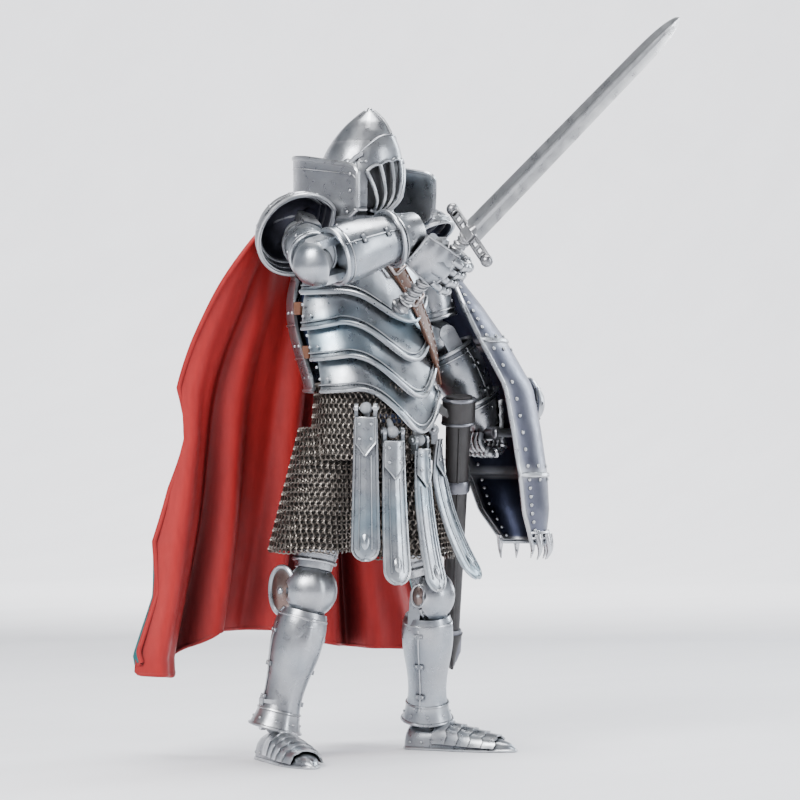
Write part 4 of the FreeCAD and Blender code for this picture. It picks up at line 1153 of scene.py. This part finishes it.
def add_mail_hem():
    """The mail that shows under the belly plate, fixed to the pelvis."""
    def surface(down, step, off=0.0):
        angle = 2 * math.pi * step
        height = 89.5 - 17 * down
        half = 16.2 + 1.9 * down + off
        depth = (12.9 if math.cos(angle) > 0 else 9.6) + 0.5 * down + off
        return vec(half * math.sin(angle), -3.2 - depth * math.cos(angle), height)

    piece = Piece()
    weave(piece, surface, 15, lambda share: 68)
    piece.make("mail_hem_links", "pelvis", [MAIL])
    # painted shade: a dark sheet behind the links
    shade_sheet = Piece()
    grid = np.array([[surface(down, step, -0.5) for step in np.linspace(0, 1, 65)[:-1]]
                     for down in np.linspace(1, 0, 9)])
    shade_sheet.sheet(grid, 0.5, close_v=True)
    shade_sheet.make("mail_hem_shade_sheet", "pelvis", [MAIL_SHADE_SHEET])


# ------------------------------------------------------------------ strips

TASSET_FLARE = (0.6, 3.2, 4.9, 9.9)
TASSET_TWIST = (0, 0, 8, 38)        # degrees that each strip turns towards the figure's right
TASSET_LENGTH = 36.0


def add_tasset(number):
    """A long grooved strip on its hinge, with a riveted top plate and a drop-shaped stud."""
    centre = pivot("tasset_%d_swing" % number)
    way = axis("tasset_%d_swing" % number)
    way = way if way[0] > 0 else -way
    out = vec(way[1], -way[0], 0)
    flare = TASSET_FLARE[number - 1]
    full_twist = math.radians(TASSET_TWIST[number - 1])
    piece = Piece()

    def spine(share):
        drop = 2.6 + (TASSET_LENGTH - 2.6) * share
        return centre + out * (0.9 + flare * share ** 2) - UP * drop

    def half_width(share):
        width = 2.45 + 0.75 * share
        return width * (1 if share < 0.9 else math.sqrt(max(1 - ((share - 0.9) / 0.103) ** 2, 0.02)))

    def turned_way(share):
        turn = full_twist * min(share / 0.3, 1)
        return way * math.cos(turn) + out * math.sin(turn)

    def lift_at(share):
        ahead = unit(spine(share + 0.01) - spine(share - 0.01))
        lift = unit(np.cross(turned_way(share), ahead))
        return lift if np.dot(lift, out) > 0 else -lift

    rows = []
    shares = np.concatenate([np.linspace(0, 0.88, 25), np.linspace(0.9, 1.0, 9)])
    for share in shares:
        row = []
        for across in np.linspace(-1, 1, 13):
            crown = 0.75 * (1 - across ** 2) + 0.22 * math.exp(-(across / 0.16) ** 2)
            sideways = turned_way(share) * half_width(share) * across
            row.append(spine(share) + sideways + lift_at(share) * crown)
        rows.append(row)
    grid = np.array(rows)[::-1]
    piece.sheet(grid, 0.8)
    border = np.vstack([grid[::-1, 0], grid[0, 1:-1], grid[:, -1]])
    piece.tube(border, 0.36, 8)
    out_grid = normals(grid)
    for column in (3, 9):
        groove = grid[6:-7, column] + out_grid[6:-7, column] * 0.02
        piece.tube(groove, 0.2, 6)
    plate_rows = []
    for share in np.linspace(-0.01, 0.26, 13):
        narrow = 1.0 if share < 0.17 else max(1 - (share - 0.17) / 0.092, 0.03)
        row = []
        for across in np.linspace(-1, 1, 11):
            crown = 0.75 * (1 - (across * narrow) ** 2) + 0.62
            row.append(spine(share) + turned_way(share) * 2.35 * across * narrow + lift_at(share) * crown)
        plate_rows.append(row)
    top = np.array(plate_rows)[::-1]
    piece.sheet(top, 0.5)
    edge = np.vstack([top[::-1, 0], top[0, 1:-1], top[:, -1], top[-1, 1:-1][::-1]])
    piece.tube(edge, 0.22, 6, closed=True)
    for share, across in ((0.035, -0.6), (0.035, 0.6), (0.14, -0.6), (0.14, 0.6)):
        lift = lift_at(share)
        here = spine(share) + turned_way(share) * 2.35 * across + lift * (0.75 * (1 - across ** 2) + 0.66)
        piece.dome(here, lift, RIVET)
    face, wide = lift_at(0.88), turned_way(0.88)
    stud = spine(0.885) + face * 0.85
    ahead = unit(spine(0.9) - spine(0.87))
    outline = []
    for turn in np.linspace(0, 2 * math.pi, 24, endpoint=False):
        drop = 1.35 * math.cos(turn) - 0.5 * (1 - math.cos(turn))
        outline.append(stud + wide * 0.95 * math.sin(turn) + ahead * drop)
    outline = np.array(outline)
    rings = [stud + (outline - stud) * share + face * (0.55 - 0.45 * share ** 2)
             for share in (1.0, 0.7, 0.35, 0.05)]
    stud_grid = np.array(rings)
    piece.wall(stud_grid, stud_grid - face * 0.5, close_v=True)
    for end in (-1, 1):
        ear = Basis(centre + way * 1.85 * end, way * end, out)
        piece.turned(ear, ((0, 1.25), (0.75, 1.25), (0.9, 1.1)), 20)
        piece.dome(centre + way * 2.7 * end, way * end, 0.6)
        piece.box(centre + way * 2.25 * end - UP * 1.7 + out * 0.3, way * 0.4, out * 0.8, UP * 1.7)
    piece.tube([centre - way * 2.7, centre + way * 2.7], 0.45, 8)
    body = "tasset_%d" % number
    piece.make("strip_look_%d" % number, body, [TINTED], [body])


# ------------------------------------------------------------------ arms

def add_upper_arm(side):
    """The rerebrace: a rolled tube with a rim at each end and rivets."""
    piece = Piece()
    basis = Basis(SHOULDER[side], ELBOW[side] - SHOULDER[side], UP)
    length = np.linalg.norm(ELBOW[side] - SHOULDER[side])
    profile = ((7.4, 5.0), (9, 5.3), (12, 5.55), (length - 8, 5.6), (length - 4.2, 5.35))
    piece.turned(basis, smooth_line(profile, 14), 48, shape=keeled(0.03, 0.0))
    for height, size in ((length - 4.3, 0.46), (length - 5.9, 0.2), (7.6, 0.36)):
        piece.tube(ring_path(basis, height, profile_radius(profile, height) + 0.1), size, 8, closed=True)
    piece.rivet_ring(basis, 8, length - 7.6, 5.6, SMALL_RIVET)
    piece.make("rerebrace_look_" + side, "upper_arm_" + side, [STEEL])


def add_elbow(side):
    """The elbow cop behind the joint: a keeled cap with a rolled rim."""
    piece = Piece()
    way = unit(unit(SHOULDER[side] - ELBOW[side]) + unit(WRIST[side] - ELBOW[side]))
    bend = axis("elbow_bend_" + side)
    basis = Basis(ELBOW[side], bend, -way)
    rows = []
    for lift in np.radians(np.linspace(-66, 66, 17)):
        row = []
        for angle in np.radians(np.linspace(-50, 50, 17)):
            keel = 1 + 0.05 * math.exp(-(math.degrees(lift) / 12) ** 2)
            out = (basis.x * math.cos(angle) + basis.y * math.sin(angle)) * math.cos(lift)
            row.append(ELBOW[side] + (out + basis.z * math.sin(lift)) * 5.15 * keel)
        rows.append(row)
    grid = np.array(rows)[:, ::-1]
    piece.sheet(grid, 0.7)
    piece.tube(border_of(grid), 0.34, 8, closed=True)
    piece.make("elbow_cop_" + side, "elbow_joint_" + side, [STEEL])


def add_forearm(side):
    """The vambrace: a tapering tube with an open seam, clasps, rims and rivets."""
    piece = Piece()
    basis = Basis(ELBOW[side], WRIST[side] - ELBOW[side], UP)
    length = np.linalg.norm(WRIST[side] - ELBOW[side])
    profile = ((4.4, 6.5), (6.5, 6.8), (10, 6.9), (15, 6.35), (length - 1.6, 5.35))
    piece.shell(basis, smooth_line(profile, 18), 0.8, 56, keeled(0.02, 0.3))
    piece.tube(ring_path(basis, 4.5, 6.6), 0.52, 8, closed=True)
    piece.tube(ring_path(basis, 6.2, 6.8), 0.2, 6, closed=True)
    piece.tube(ring_path(basis, length - 1.8, 5.4), 0.4, 8, closed=True)
    for angle in (1.2, 1.2 + math.pi):
        hinge_line(piece, basis, profile, angle, (10, 17))
    piece.rivet_ring(basis, 10, 7.6, 6.85, 0.32)
    piece.make("vambrace_look_" + side, "forearm_" + side, [STEEL])


FINGER = ((3.1, 0.6), (3.2, 3.2), (1.2, 5.0), (-1.5, 4.6), (-3.1, 2.4), (-2.8, 0.0))
# The way along what the hand holds, and the way out of the back of the hand
FIST_FRAME = {"right": ((0.156, -0.731, 0.665), (-0.635, -0.65, -0.416)),
              "left": ((0.419, 0.908, 0), (0.908, -0.419, 0))}
FIST_CENTRE = {"right": vec(-4.2, -29.2, 118.1), "left": vec(37.6, -8.9, 78.5)}


def add_hand(side):
    """The gauntlet: a flared cuff, a riveted back plate, four jointed fingers and a thumb."""
    piece = Piece()
    centre = FIST_CENTRE[side]
    grip, back = FIST_FRAME[side]
    basis = Basis(centre, grip, back)
    if np.dot(basis.y, WRIST[side] - centre) > 0:
        basis = Basis(centre, -np.array(grip), back)
    for z in (-3.7, -1.25, 1.2, 3.6):
        path = [(x, y, z * (1 + 0.02 * y)) for x, y in FINGER]
        line = smooth_line(basis.at(path), 26)
        share = np.linspace(0, 1, 26)
        sizes = 1.18 - 0.12 * np.cos(share * 5 * math.pi) ** 2 - 0.18 * share
        piece.tube(line, sizes, 10)
        for index in (5, 10, 15):
            along = unit(line[index + 1] - line[index - 1])
            lame = Basis(line[index], along, basis.z)
            piece.turned(lame, ((-0.5, 1.16), (0, 1.4), (0.5, 1.16)), 16)
    thumb = basis.at([(1.6, -4.8, 4.4), (0.3, -3.4, 4.9), (-1.7, -2.6, 4.2), (-3.1, -1.2, 2.6)])
    piece.tube(smooth_line(thumb, 18), 1.25 - 0.25 * np.linspace(0, 1, 18), 10)
    rows = []
    for y in np.linspace(-8.2, 1.2, 15):
        row = []
        for share in np.linspace(-1, 1, 13):
            fade = np.interp(y, (-8.2, -4, 1.2), (0.86, 0.95, 1.0))
            row.append((2.9 + 1.5 * (1 - share ** 2) + 0.12 * math.cos(y * 2.2), y, 5.0 * share * fade))
        rows.append(basis.at(np.array(row)))
    grid = np.array(rows)
    if np.dot(normals(grid)[7, 6], basis.x) < 0:
        grid = grid[::-1]
    piece.sheet(grid, 0.8)
    piece.tube(border_of(grid), 0.32, 8, closed=True)
    out = normals(grid)
    for row in (1, 13):
        for column in (2, 5, 7, 10):
            piece.dome(grid[row, column], out[row, column], 0.4)
    palm = basis.at(np.array([(0.6, -7.5, 0), (0.9, -4, 0), (1.4, -0.5, 0), (1.6, 1.8, 0)]))
    piece.tube(smooth_line(palm, 12), np.linspace(3.6, 3.3, 12), 20)
    cuff = Basis(WRIST[side], WRIST[side] - ELBOW[side], UP)
    profile = [(-2.4, 6.75), (-1.2, 6.15), (1.0, 5.3), (3.4, 4.75), (5.2, 4.5)]
    piece.shell(cuff, smooth_line(profile, 14), 0.75, 52)
    piece.tube(ring_path(cuff, -2.3, 6.75), 0.42, 8, closed=True)
    piece.tube(ring_path(cuff, -0.9, 6.15), 0.2, 6, closed=True)
    piece.rivet_ring(cuff, 10, 0.6, 5.45, SMALL_RIVET)
    piece.turned(cuff, ((-7.8, 1.4), (1.5, 1.4)), 20)
    piece.make("gauntlet_look_" + side, "hand_" + side, [STEEL], ["hand_" + side])


PAULDRON_FLAT = 6.0         # the dome is flattened beyond this distance towards the neck
PAULDRON_OPEN = {"right": (-0.3, -0.82, -0.5), "left": (0.15, -0.5, -0.85)}


def add_pauldron(side):
    """The shoulder dome with a second and third lame below it, rolled rims and rivets."""
    piece = Piece()
    centre = SHOULDER[side]
    basis = Basis(centre, -unit(PAULDRON_OPEN[side]), UP)
    inside = -OUTWARD[side]

    def cap(radius, low, high, rows):
        grid = []
        for lift in np.radians(np.linspace(low, high, rows)):
            row = []
            for angle in np.linspace(0, 2 * math.pi, 60, endpoint=False):
                out = basis.x * math.cos(angle) + basis.y * math.sin(angle)
                point = (out * math.cos(lift) + basis.z * math.sin(lift)) * radius
                reach = np.dot(point, inside)
                if reach > PAULDRON_FLAT:
                    point = point - inside * (reach - PAULDRON_FLAT) * 0.92
                row.append(centre + point)
            grid.append(row)
        return np.array(grid)

    for radius, low, high in ((9.9, 22, 89.5), (10.3, 12, 34), (10.6, 1, 19)):
        grid = cap(radius, low, high, 14 if high > 80 else 6)
        piece.sheet(grid, 0.7, close_v=True, inner_slot=1)
        piece.tube(grid[0], 0.45, 8, closed=True)
        if high < 80:
            for k in range(3, 60, 6):
                out = grid[3, k] - centre
                if np.dot(out, inside) < 5.5:
                    piece.dome(grid[3, k], out, RIVET)
    body = "pauldron_" + side
    piece.make("pauldron_look_" + side, body, [STEEL, STEEL_DARK], [body])


# ------------------------------------------------------------------ sword

# Places along the sword from the middle of the fist, and the guard's length
SWORD = {"start": 11.2, "tip": 81.5, "pommel": -16.8, "guard": 21.0}
# One half of the blade's outline, in shares of its half width and half thickness
BLADE_EDGE = ((1.0, 0), (0.72, 0.3), (0.3, 0.52), (0.1, 0.98),
              (0, 1.0), (-0.1, 0.98), (-0.3, 0.52), (-0.72, 0.3))


def sword_basis():
    return Basis(FIST_CENTRE["right"], (0.156, -0.731, 0.665), (-0.139, -0.683, -0.717))


def add_sword():
    """The blade with its hollow-ground faces, ladder guard, twisted grip and pommel."""
    basis = sword_basis()
    blade = Piece()
    rows = []
    length = SWORD["tip"] - SWORD["start"]
    for share in np.concatenate([np.linspace(0, 0.86, 20), np.linspace(0.88, 1, 14)]):
        point = 1 if share < 0.8 else math.sqrt(max(1 - ((share - 0.8) / 0.2004) ** 2.6, 0))
        thin = 1 if share < 0.85 else max(1 - ((share - 0.85) / 0.152) ** 2, 0.05)
        width = 3.5 * (1 - 0.24 * share) * point
        thick = 0.95 * (1 - 0.35 * share) * thin
        height = SWORD["start"] - 1 + (length + 1) * share
        row = [(x * width * sign, y * thick * sign, height) for sign in (1, -1) for x, y in BLADE_EDGE]
        rows.append(basis.at(np.array(row)))
    grid = np.array(rows)
    blade.grid(grid, close_v=True)
    blade.cap_ends(len(grid), grid.shape[1])
    blade.make("blade_look", "sword", [BLADE], ["sword_blade"], smooth=14)

    guard = Piece()
    middle = SWORD["start"] - 1.2
    half = SWORD["guard"] / 2
    for side in (-1, 1):
        for rail in (-1, 1):
            line = [(x * side, 0, middle + rail * 0.95) for x in np.linspace(0, half - 2.2, 8)]
            guard.tube(basis.at(line), 0.52, 8)
        for x in (2.0, 4.4, 6.6, 8.2):
            guard.tube(basis.at([(x * side, 0, middle - 1.0), (x * side, 0, middle + 1.0)]), 0.55, 8)
        ball = Basis(basis.at((half * side - 1.5 * side, 0, middle)), basis.x * side, basis.z)
        guard.turned(ball, ball_profile(1.5, 0.35, 12), 24)
        guard.turned(ball, ((-1.75, 0.9), (-1.5, 1.15), (-1.25, 0.9)), 20)
    heart = Basis(basis.at((0, 0, middle)), basis.z, basis.x)
    guard.box(heart.origin, basis.x * 1.9, basis.y * 1.25, basis.z * 1.35)
    guard.turned(heart, ((1.2, 1.6), (2.4, 1.1), (2.9, 0.9)), 20)
    guard.make("guard_look", "sword", [GUARD], ["sword_crossguard"], bevel=0.15)

    grip = Piece()
    low, high = SWORD["pommel"] + 3.9, SWORD["start"] - 2.4
    heights = np.linspace(low, high, 90)
    grip.turned(basis, ((low, 1.35), (0.5 * (low + high), 1.5), (high, 1.35)), 24)
    for strand in range(2):
        path = []
        for height in heights:
            turn = height * 2 * math.pi / 3.0 + strand * math.pi
            path.append((1.32 * math.cos(turn), 1.32 * math.sin(turn), height))
        grip.tube(basis.at(np.array(path)), 0.46, 8)
    for height in (low, high):
        collar = [(height + rise, radius)
                  for rise, radius in ((-0.45, 1.5), (-0.2, 2.0), (0.2, 2.0), (0.45, 1.5))]
        grip.turned(basis, collar, 24)
    middle = SWORD["pommel"] + 2.1
    angles = np.linspace(0, math.pi, 14)
    grip.turned(basis, [(middle - 2.1 * math.cos(a), max(2.15 * math.sin(a), 0.05)) for a in angles], 28)
    grip.turned(basis, ((middle - 0.4, 2.1), (middle, 2.45), (middle + 0.4, 2.1)), 28)
    grip.make("grip_look", "sword", [GUARD], ["sword_grip"])


# ------------------------------------------------------------------ scabbard

def scabbard_basis():
    mouth, tip = vec(22, -13.5, 87.5), vec(37, 1.5, 19.5)
    along = unit(tip - mouth)
    wide = unit(np.cross(along, vec(0.64, 0.77, 0)))
    return Basis(mouth, along, wide), np.linalg.norm(tip - mouth)


def add_scabbard():
    """The sheath with raised bands, a locket and a chape with a ball."""
    basis, length = scabbard_basis()

    def oval_rows(stations):
        """Ovals along the sheath, each given by its place, half width and half depth."""
        count = 32
        angle = np.linspace(0, 2 * math.pi, count, endpoint=False)
        rows = []
        for z, half, deep in stations:
            rows.append(basis.at(np.stack([half * np.cos(angle), deep * np.sin(angle), np.full(count, z)], -1)))
        return np.array(rows)

    sheath = Piece()
    grid = oval_rows([(0, 3.3, 1.75), (length * 0.3, 2.95, 1.7), (length * 0.6, 2.5, 1.65),
                      (length - 4, 1.9, 1.6)])
    sheath.grid(grid, close_v=True)
    sheath.cap_ends(len(grid), grid.shape[1])
    for side in (-1, 1):
        line = basis.at([(0, side * 1.72, z) for z in np.linspace(8, length - 10, 16)])
        sheath.tube(line, 0.3, 6)
    sheath.make("sheath_look", "scabbard", [SHEATH], ["scabbard"])
    fittings = Piece()
    locket = oval_rows([(0.6, 3.9, 2.4), (1.4, 4.1, 2.6), (6.4, 3.9, 2.5), (7.2, 3.6, 2.3)])
    chape = oval_rows([(length - 10, 2.4, 1.95), (length - 9, 2.7, 2.2), (length - 4, 2.6, 2.2),
                       (length - 1.4, 1.6, 1.6), (length - 0.2, 0.5, 0.5)])
    band = oval_rows([(22, 3.2, 1.9), (22.6, 3.5, 2.2), (24.4, 3.5, 2.2), (25, 3.2, 1.9)])
    for grid in (locket, chape, band):
        fittings.grid(grid, close_v=True)
        fittings.cap_ends(len(grid), grid.shape[1])
    for z in (0.9, 6.9):
        ring = oval_rows([(z, 4.0, 2.55)])[0]
        fittings.tube(ring, 0.42, 8, closed=True)
    ball = Basis(basis.at((0, 0, length - 0.9)), basis.z, basis.x)
    fittings.turned(ball, ball_profile(1.3, 0.3, 10), 20)
    fittings.make("scabbard_metal", "scabbard", [STEEL_DARK])


# ------------------------------------------------------------------ shield

# Height, middle of the chord, width, depth
SHIELD = np.array((
    (51, 41.8, -14.1, 16, 9),
    (59, 40.4, -12.4, 24, 12),
    (68, 39.1, -10.8, 29, 13.5),
    (79.5, 37.7, -9.1, 31, 14),
    (90, 36.4, -7.6, 31, 14),
    (101.5, 32.8, -3.3, 29, 13),
    (110, 31.2, -0.8, 24, 10),
    (118, 32.3, 0.1, 10, 4),
))
SHIELD_SEAMS = (101.5, 68)          # heights at which the three plates meet
SEAM_GAP = 0.1
CHORD = unit((0.419, 0.908, 0))
SHIELD_OUT = unit((0.908, -0.419, 0))


def shield_row(height, off=0.0, reach=1.0):
    """One level of the shield's face, from its near edge to its far edge."""
    x, y, width, depth = (float(np.interp(height, SHIELD[:, 0], SHIELD[:, i])) for i in range(1, 5))
    radius = (width ** 2 / 4 + depth ** 2) / (2 * depth)
    half = math.asin(min(width / 2 / radius, 1.0)) * reach
    centre = vec(x, y, height) + SHIELD_OUT * (depth - radius)
    angle = np.linspace(-half, half, 33)
    size = radius + off
    keel = 0.7 * np.exp(-(angle / 0.12) ** 2)
    ring = np.sin(angle)[:, None] * CHORD + np.cos(angle)[:, None] * SHIELD_OUT
    return centre + ring * (size + keel)[:, None]


def add_shield():
    """Three riveted plates with rolled silver rims, a near-black inner sheet of painted shade, a boss, claws and
    the grip.
    """
    above, below = SHIELD_SEAMS
    spans = (("upper", SHIELD[-1, 0], above + SEAM_GAP), ("middle", above - SEAM_GAP, below + SEAM_GAP),
             ("lower", below - SEAM_GAP, SHIELD[0, 0]))
    for name, high, low in spans:
        piece = Piece()
        rows = np.array([shield_row(z) for z in np.linspace(low, high, 17)])
        piece.sheet(rows, 0.8)
        piece.tube(border_of(rows), 0.55, 8, closed=True, slot=1)
        # painted shade: a near-black sheet over the hollow inside of each plate
        inner = np.array([shield_row(z, -1.0, reach=0.985) for z in np.linspace(low + 0.4, high - 0.4, 17)])
        piece.sheet(inner, 0.5, slot=2)
        out = normals(rows)
        for column in (2, 30):
            for row in range(1, 16, 2):
                piece.dome(rows[row, column] + out[row, column] * 0.1, out[row, column], 0.5, slot=1)
                piece.dome(inner[row, column] - out[row, column] * 0.6, -out[row, column], 0.45, slot=1)
        for row in (1, 15):
            for column in range(5, 29, 4):
                piece.dome(rows[row, column] + out[row, column] * 0.1, out[row, column], 0.5, slot=1)
        piece.make("shield_look_" + name, "shield", [SHIELD_FACE, STEEL, SHIELD_HOLLOW_SHADE],
                   ["shield_" + name])
    boss = Piece()
    basis = Basis(shield_row(86)[16], SHIELD_OUT, CHORD)
    profile = ((-1.6, 6.2), (-0.6, 6.0), (0.2, 5.2), (0.9, 4.6), (1.9, 3.6), (2.6, 2.1), (2.9, 0.3))
    boss.turned(basis, profile, 40)
    boss.tube(ring_path(basis, -0.9, 6.2), 0.5, 8, closed=True)
    for k in range(8):
        here, _ = surface_at(basis, 2 * math.pi * k / 8, 0.2, 5.3)
        boss.dome(here, SHIELD_OUT, 0.5)
    boss.make("boss_look", "shield", [STEEL], ["shield_boss"])
    claws = Piece()
    for index in range(2, 33, 5):
        root = shield_row(51.4)[index]
        out = unit(root - vec(41.8, -14.1, 51.4))
        line = [root + UP * rise + out * stand
                for rise, stand in ((1.5, 0.5), (-0.6, 1.1), (-2.6, 1.2), (-4.6, 0.3))]
        claws.tube(smooth_line(line, 12), np.linspace(1.25, 0.16, 12), 10)
        claws.dome(root + UP * 1.6 + out * 0.6, out, 1.3, 0.7)
    for z in (52.2, 53.6):
        claws.tube(shield_row(z, 0.45), 0.34, 8)
    claws.make("claws_look", "shield", [CLAW], ["shield_claws"])
    grip = Piece()
    centre = FIST_CENTRE["left"]
    grip.tube([centre + CHORD * along for along in (-7.4, -3, 3, 7.4)], 1.65, 16)
    for end in (-1, 1):
        foot = centre + CHORD * 7.0 * end
        grip.tube([foot, foot + SHIELD_OUT * 6, foot + SHIELD_OUT * 9.6], 1.15, 12)
        grip.dome(foot - SHIELD_OUT * 0.6, -SHIELD_OUT, 1.5, 0.8)
    grip.make("grip_bar_look", "shield", [STEEL_DARK], ["shield_grip"])


# ------------------------------------------------------------------ cape

# Height and the plan points of the back face, right to left
CAPE = (
    (129.0, ((-15, 15.5), (-9, 18.2), (0, 19.2), (9, 18.2), (15, 15.5))),
    (124.0, ((-27, 11.0), (-14, 17.6), (0, 18.6), (14, 17.2), (25, 11.5))),
    (110, ((-31, 19.5), (-17, 20), (0, 18.5), (14, 18), (27, 14))),
    (88, ((-34, 28), (-20, 26), (0, 21.5), (15, 19.5), (29, 14))),
    (55, ((-38, 31), (-20, 30.5), (0, 27), (18, 23), (33, 14))),
    (24, ((-45, 33), (-25, 34), (0, 32.5), (20, 24.5), (38, 9))),
)


def cape_hem(share):
    """Height of the hem from the right corner to the left."""
    return np.interp(share, (0, 0.04, 0.16, 0.24, 0.3, 0.5, 0.75, 1), (23, 20.5, 19.6, 25, 30, 30, 25, 24))


def add_cape():
    """The moulded cape: folds that grow towards the hem, red inside and blue-green outside."""
    levels = [level for level, _ in CAPE]
    columns, rows = 161, 121
    lines = np.array([smooth_line([vec(x, y, level) for x, y in points], columns) for level, points in CAPE])
    grid = np.zeros((rows, columns, 3))
    share = np.linspace(0, 1, columns)
    for column in range(columns):
        drop = smooth_line(lines[:, column], 241)
        order = np.argsort(drop[:, 2])
        heights = levels[0] + (cape_hem(share[column]) - levels[0]) * np.linspace(0, 1, rows)
        for k in range(2):
            grid[:, column, k] = np.interp(heights, drop[order, 2], drop[order, k])
        grid[:, column, 2] = heights
    down = np.linspace(0, 1, rows)[:, None]
    wave = share[None] * 2 * math.pi
    fold = np.sin(5.2 * wave + 0.9 + 0.5 * np.sin(3 * down)) + 0.45 * np.sin(9.1 * wave + 2.0 - 1.2 * down)
    fold = np.sign(fold) * np.abs(fold) ** 0.85
    depth = 0.25 + 3.1 * down ** 1.1
    out = normals(grid)
    out[..., 2] = 0
    out /= np.maximum(np.linalg.norm(out, axis=2), 1e-6)[..., None]
    grid = grid + out * (fold * depth)[..., None]
    edge = np.exp(-share / 0.045)[None]
    # How far the right edge swings out at each height
    sway = np.interp(grid[:, :1, 2], (20, 26, 40, 52, 65, 78, 89, 100, 130),
                     (6.0, 3.6, 5.0, 1.2, 2.6, 5.5, 0.3, 0, 0))
    grid = grid + VIEW_RIGHT * (edge * sway)[..., None]
    piece = Piece()
    piece.wall(grid, grid - normals(grid) * 1.1, slot=1, inner_slot=0)
    rim = [grid[-1] - normals(grid)[-1] * 0.55, grid[:, 0] - normals(grid)[:, 0] * 0.55]
    for line in rim:
        piece.tube(line, 0.68, 8)
    piece.make("cape_look", "cape", [RED, TEAL], ["cape"], smooth=60)


# ------------------------------------------------------------------ the rest

def repaint():
    """Materials for the solids that show as they are."""
    paints = {
        "steel_paint": STEEL, "joint_grey": GREY, "mail": MAIL, "undersuit": NAVY, "leather": LEATHER,
        "scabbard_dark": SHEATH, "sword_metal": BLADE, "shield_dark": STEEL_DARK, "claw_silver": CLAW,
        "cape_vinyl": RED,
    }
    slots = {part["node"]: part["material_slot"] for part in frame["record"]["subparts"]}
    for name, thing in frame["nodes"].items():
        material = paints[slots[name]]
        for place in thing.material_slots:
            place.material = material
        if not thing.material_slots:
            thing.data.materials.append(material)


def add_floor():
    """A pale sweep all round: a flat floor that curves up into a low wall far away."""
    flat, bend, tall, sides = 1050, 700, 950, 96
    line = [(0.0, 0.0), (200, 0), (flat, 0)]
    angles = np.linspace(0.06, math.pi / 2, 20)
    line += [(flat + bend * math.sin(a), bend * (1 - math.cos(a))) for a in angles]
    line.append((flat + bend, tall))
    basis = Basis(vec(0, 0, -ORIGIN[2]), UP)
    piece = Piece()
    rows = [ring_path(basis, height, radius, sides) for radius, height in line]
    piece.grid(np.array(rows), close_v=True, flip=True)
    sweep = piece.object("sweep", [floor_paint("pale_floor")], 60)


repaint()
add_breastplate()
for (name, body, top, tuck), edges, above in zip(BELLY_PLATES, PLATE_EDGES[1:], PLATE_EDGES):
    add_trunk_plate(name, body, top, tuck, edges, above)
add_backplate()
add_gorget()
add_neck_guard()
add_baldric()
add_helmet()
add_visor()
add_mail_hem()
for number in range(1, 5):
    add_tasset(number)
for side in SIDES:
    add_skirt(side)
    add_thigh(side)
    add_knee(side)
    add_shin(side)
    add_foot(side)
    add_pauldron(side)
    add_upper_arm(side)
    add_elbow(side)
    add_forearm(side)
    add_hand(side)
add_sword()
add_scabbard()
add_shield()
add_cape()
add_floor()
add_lights()
add_camera()
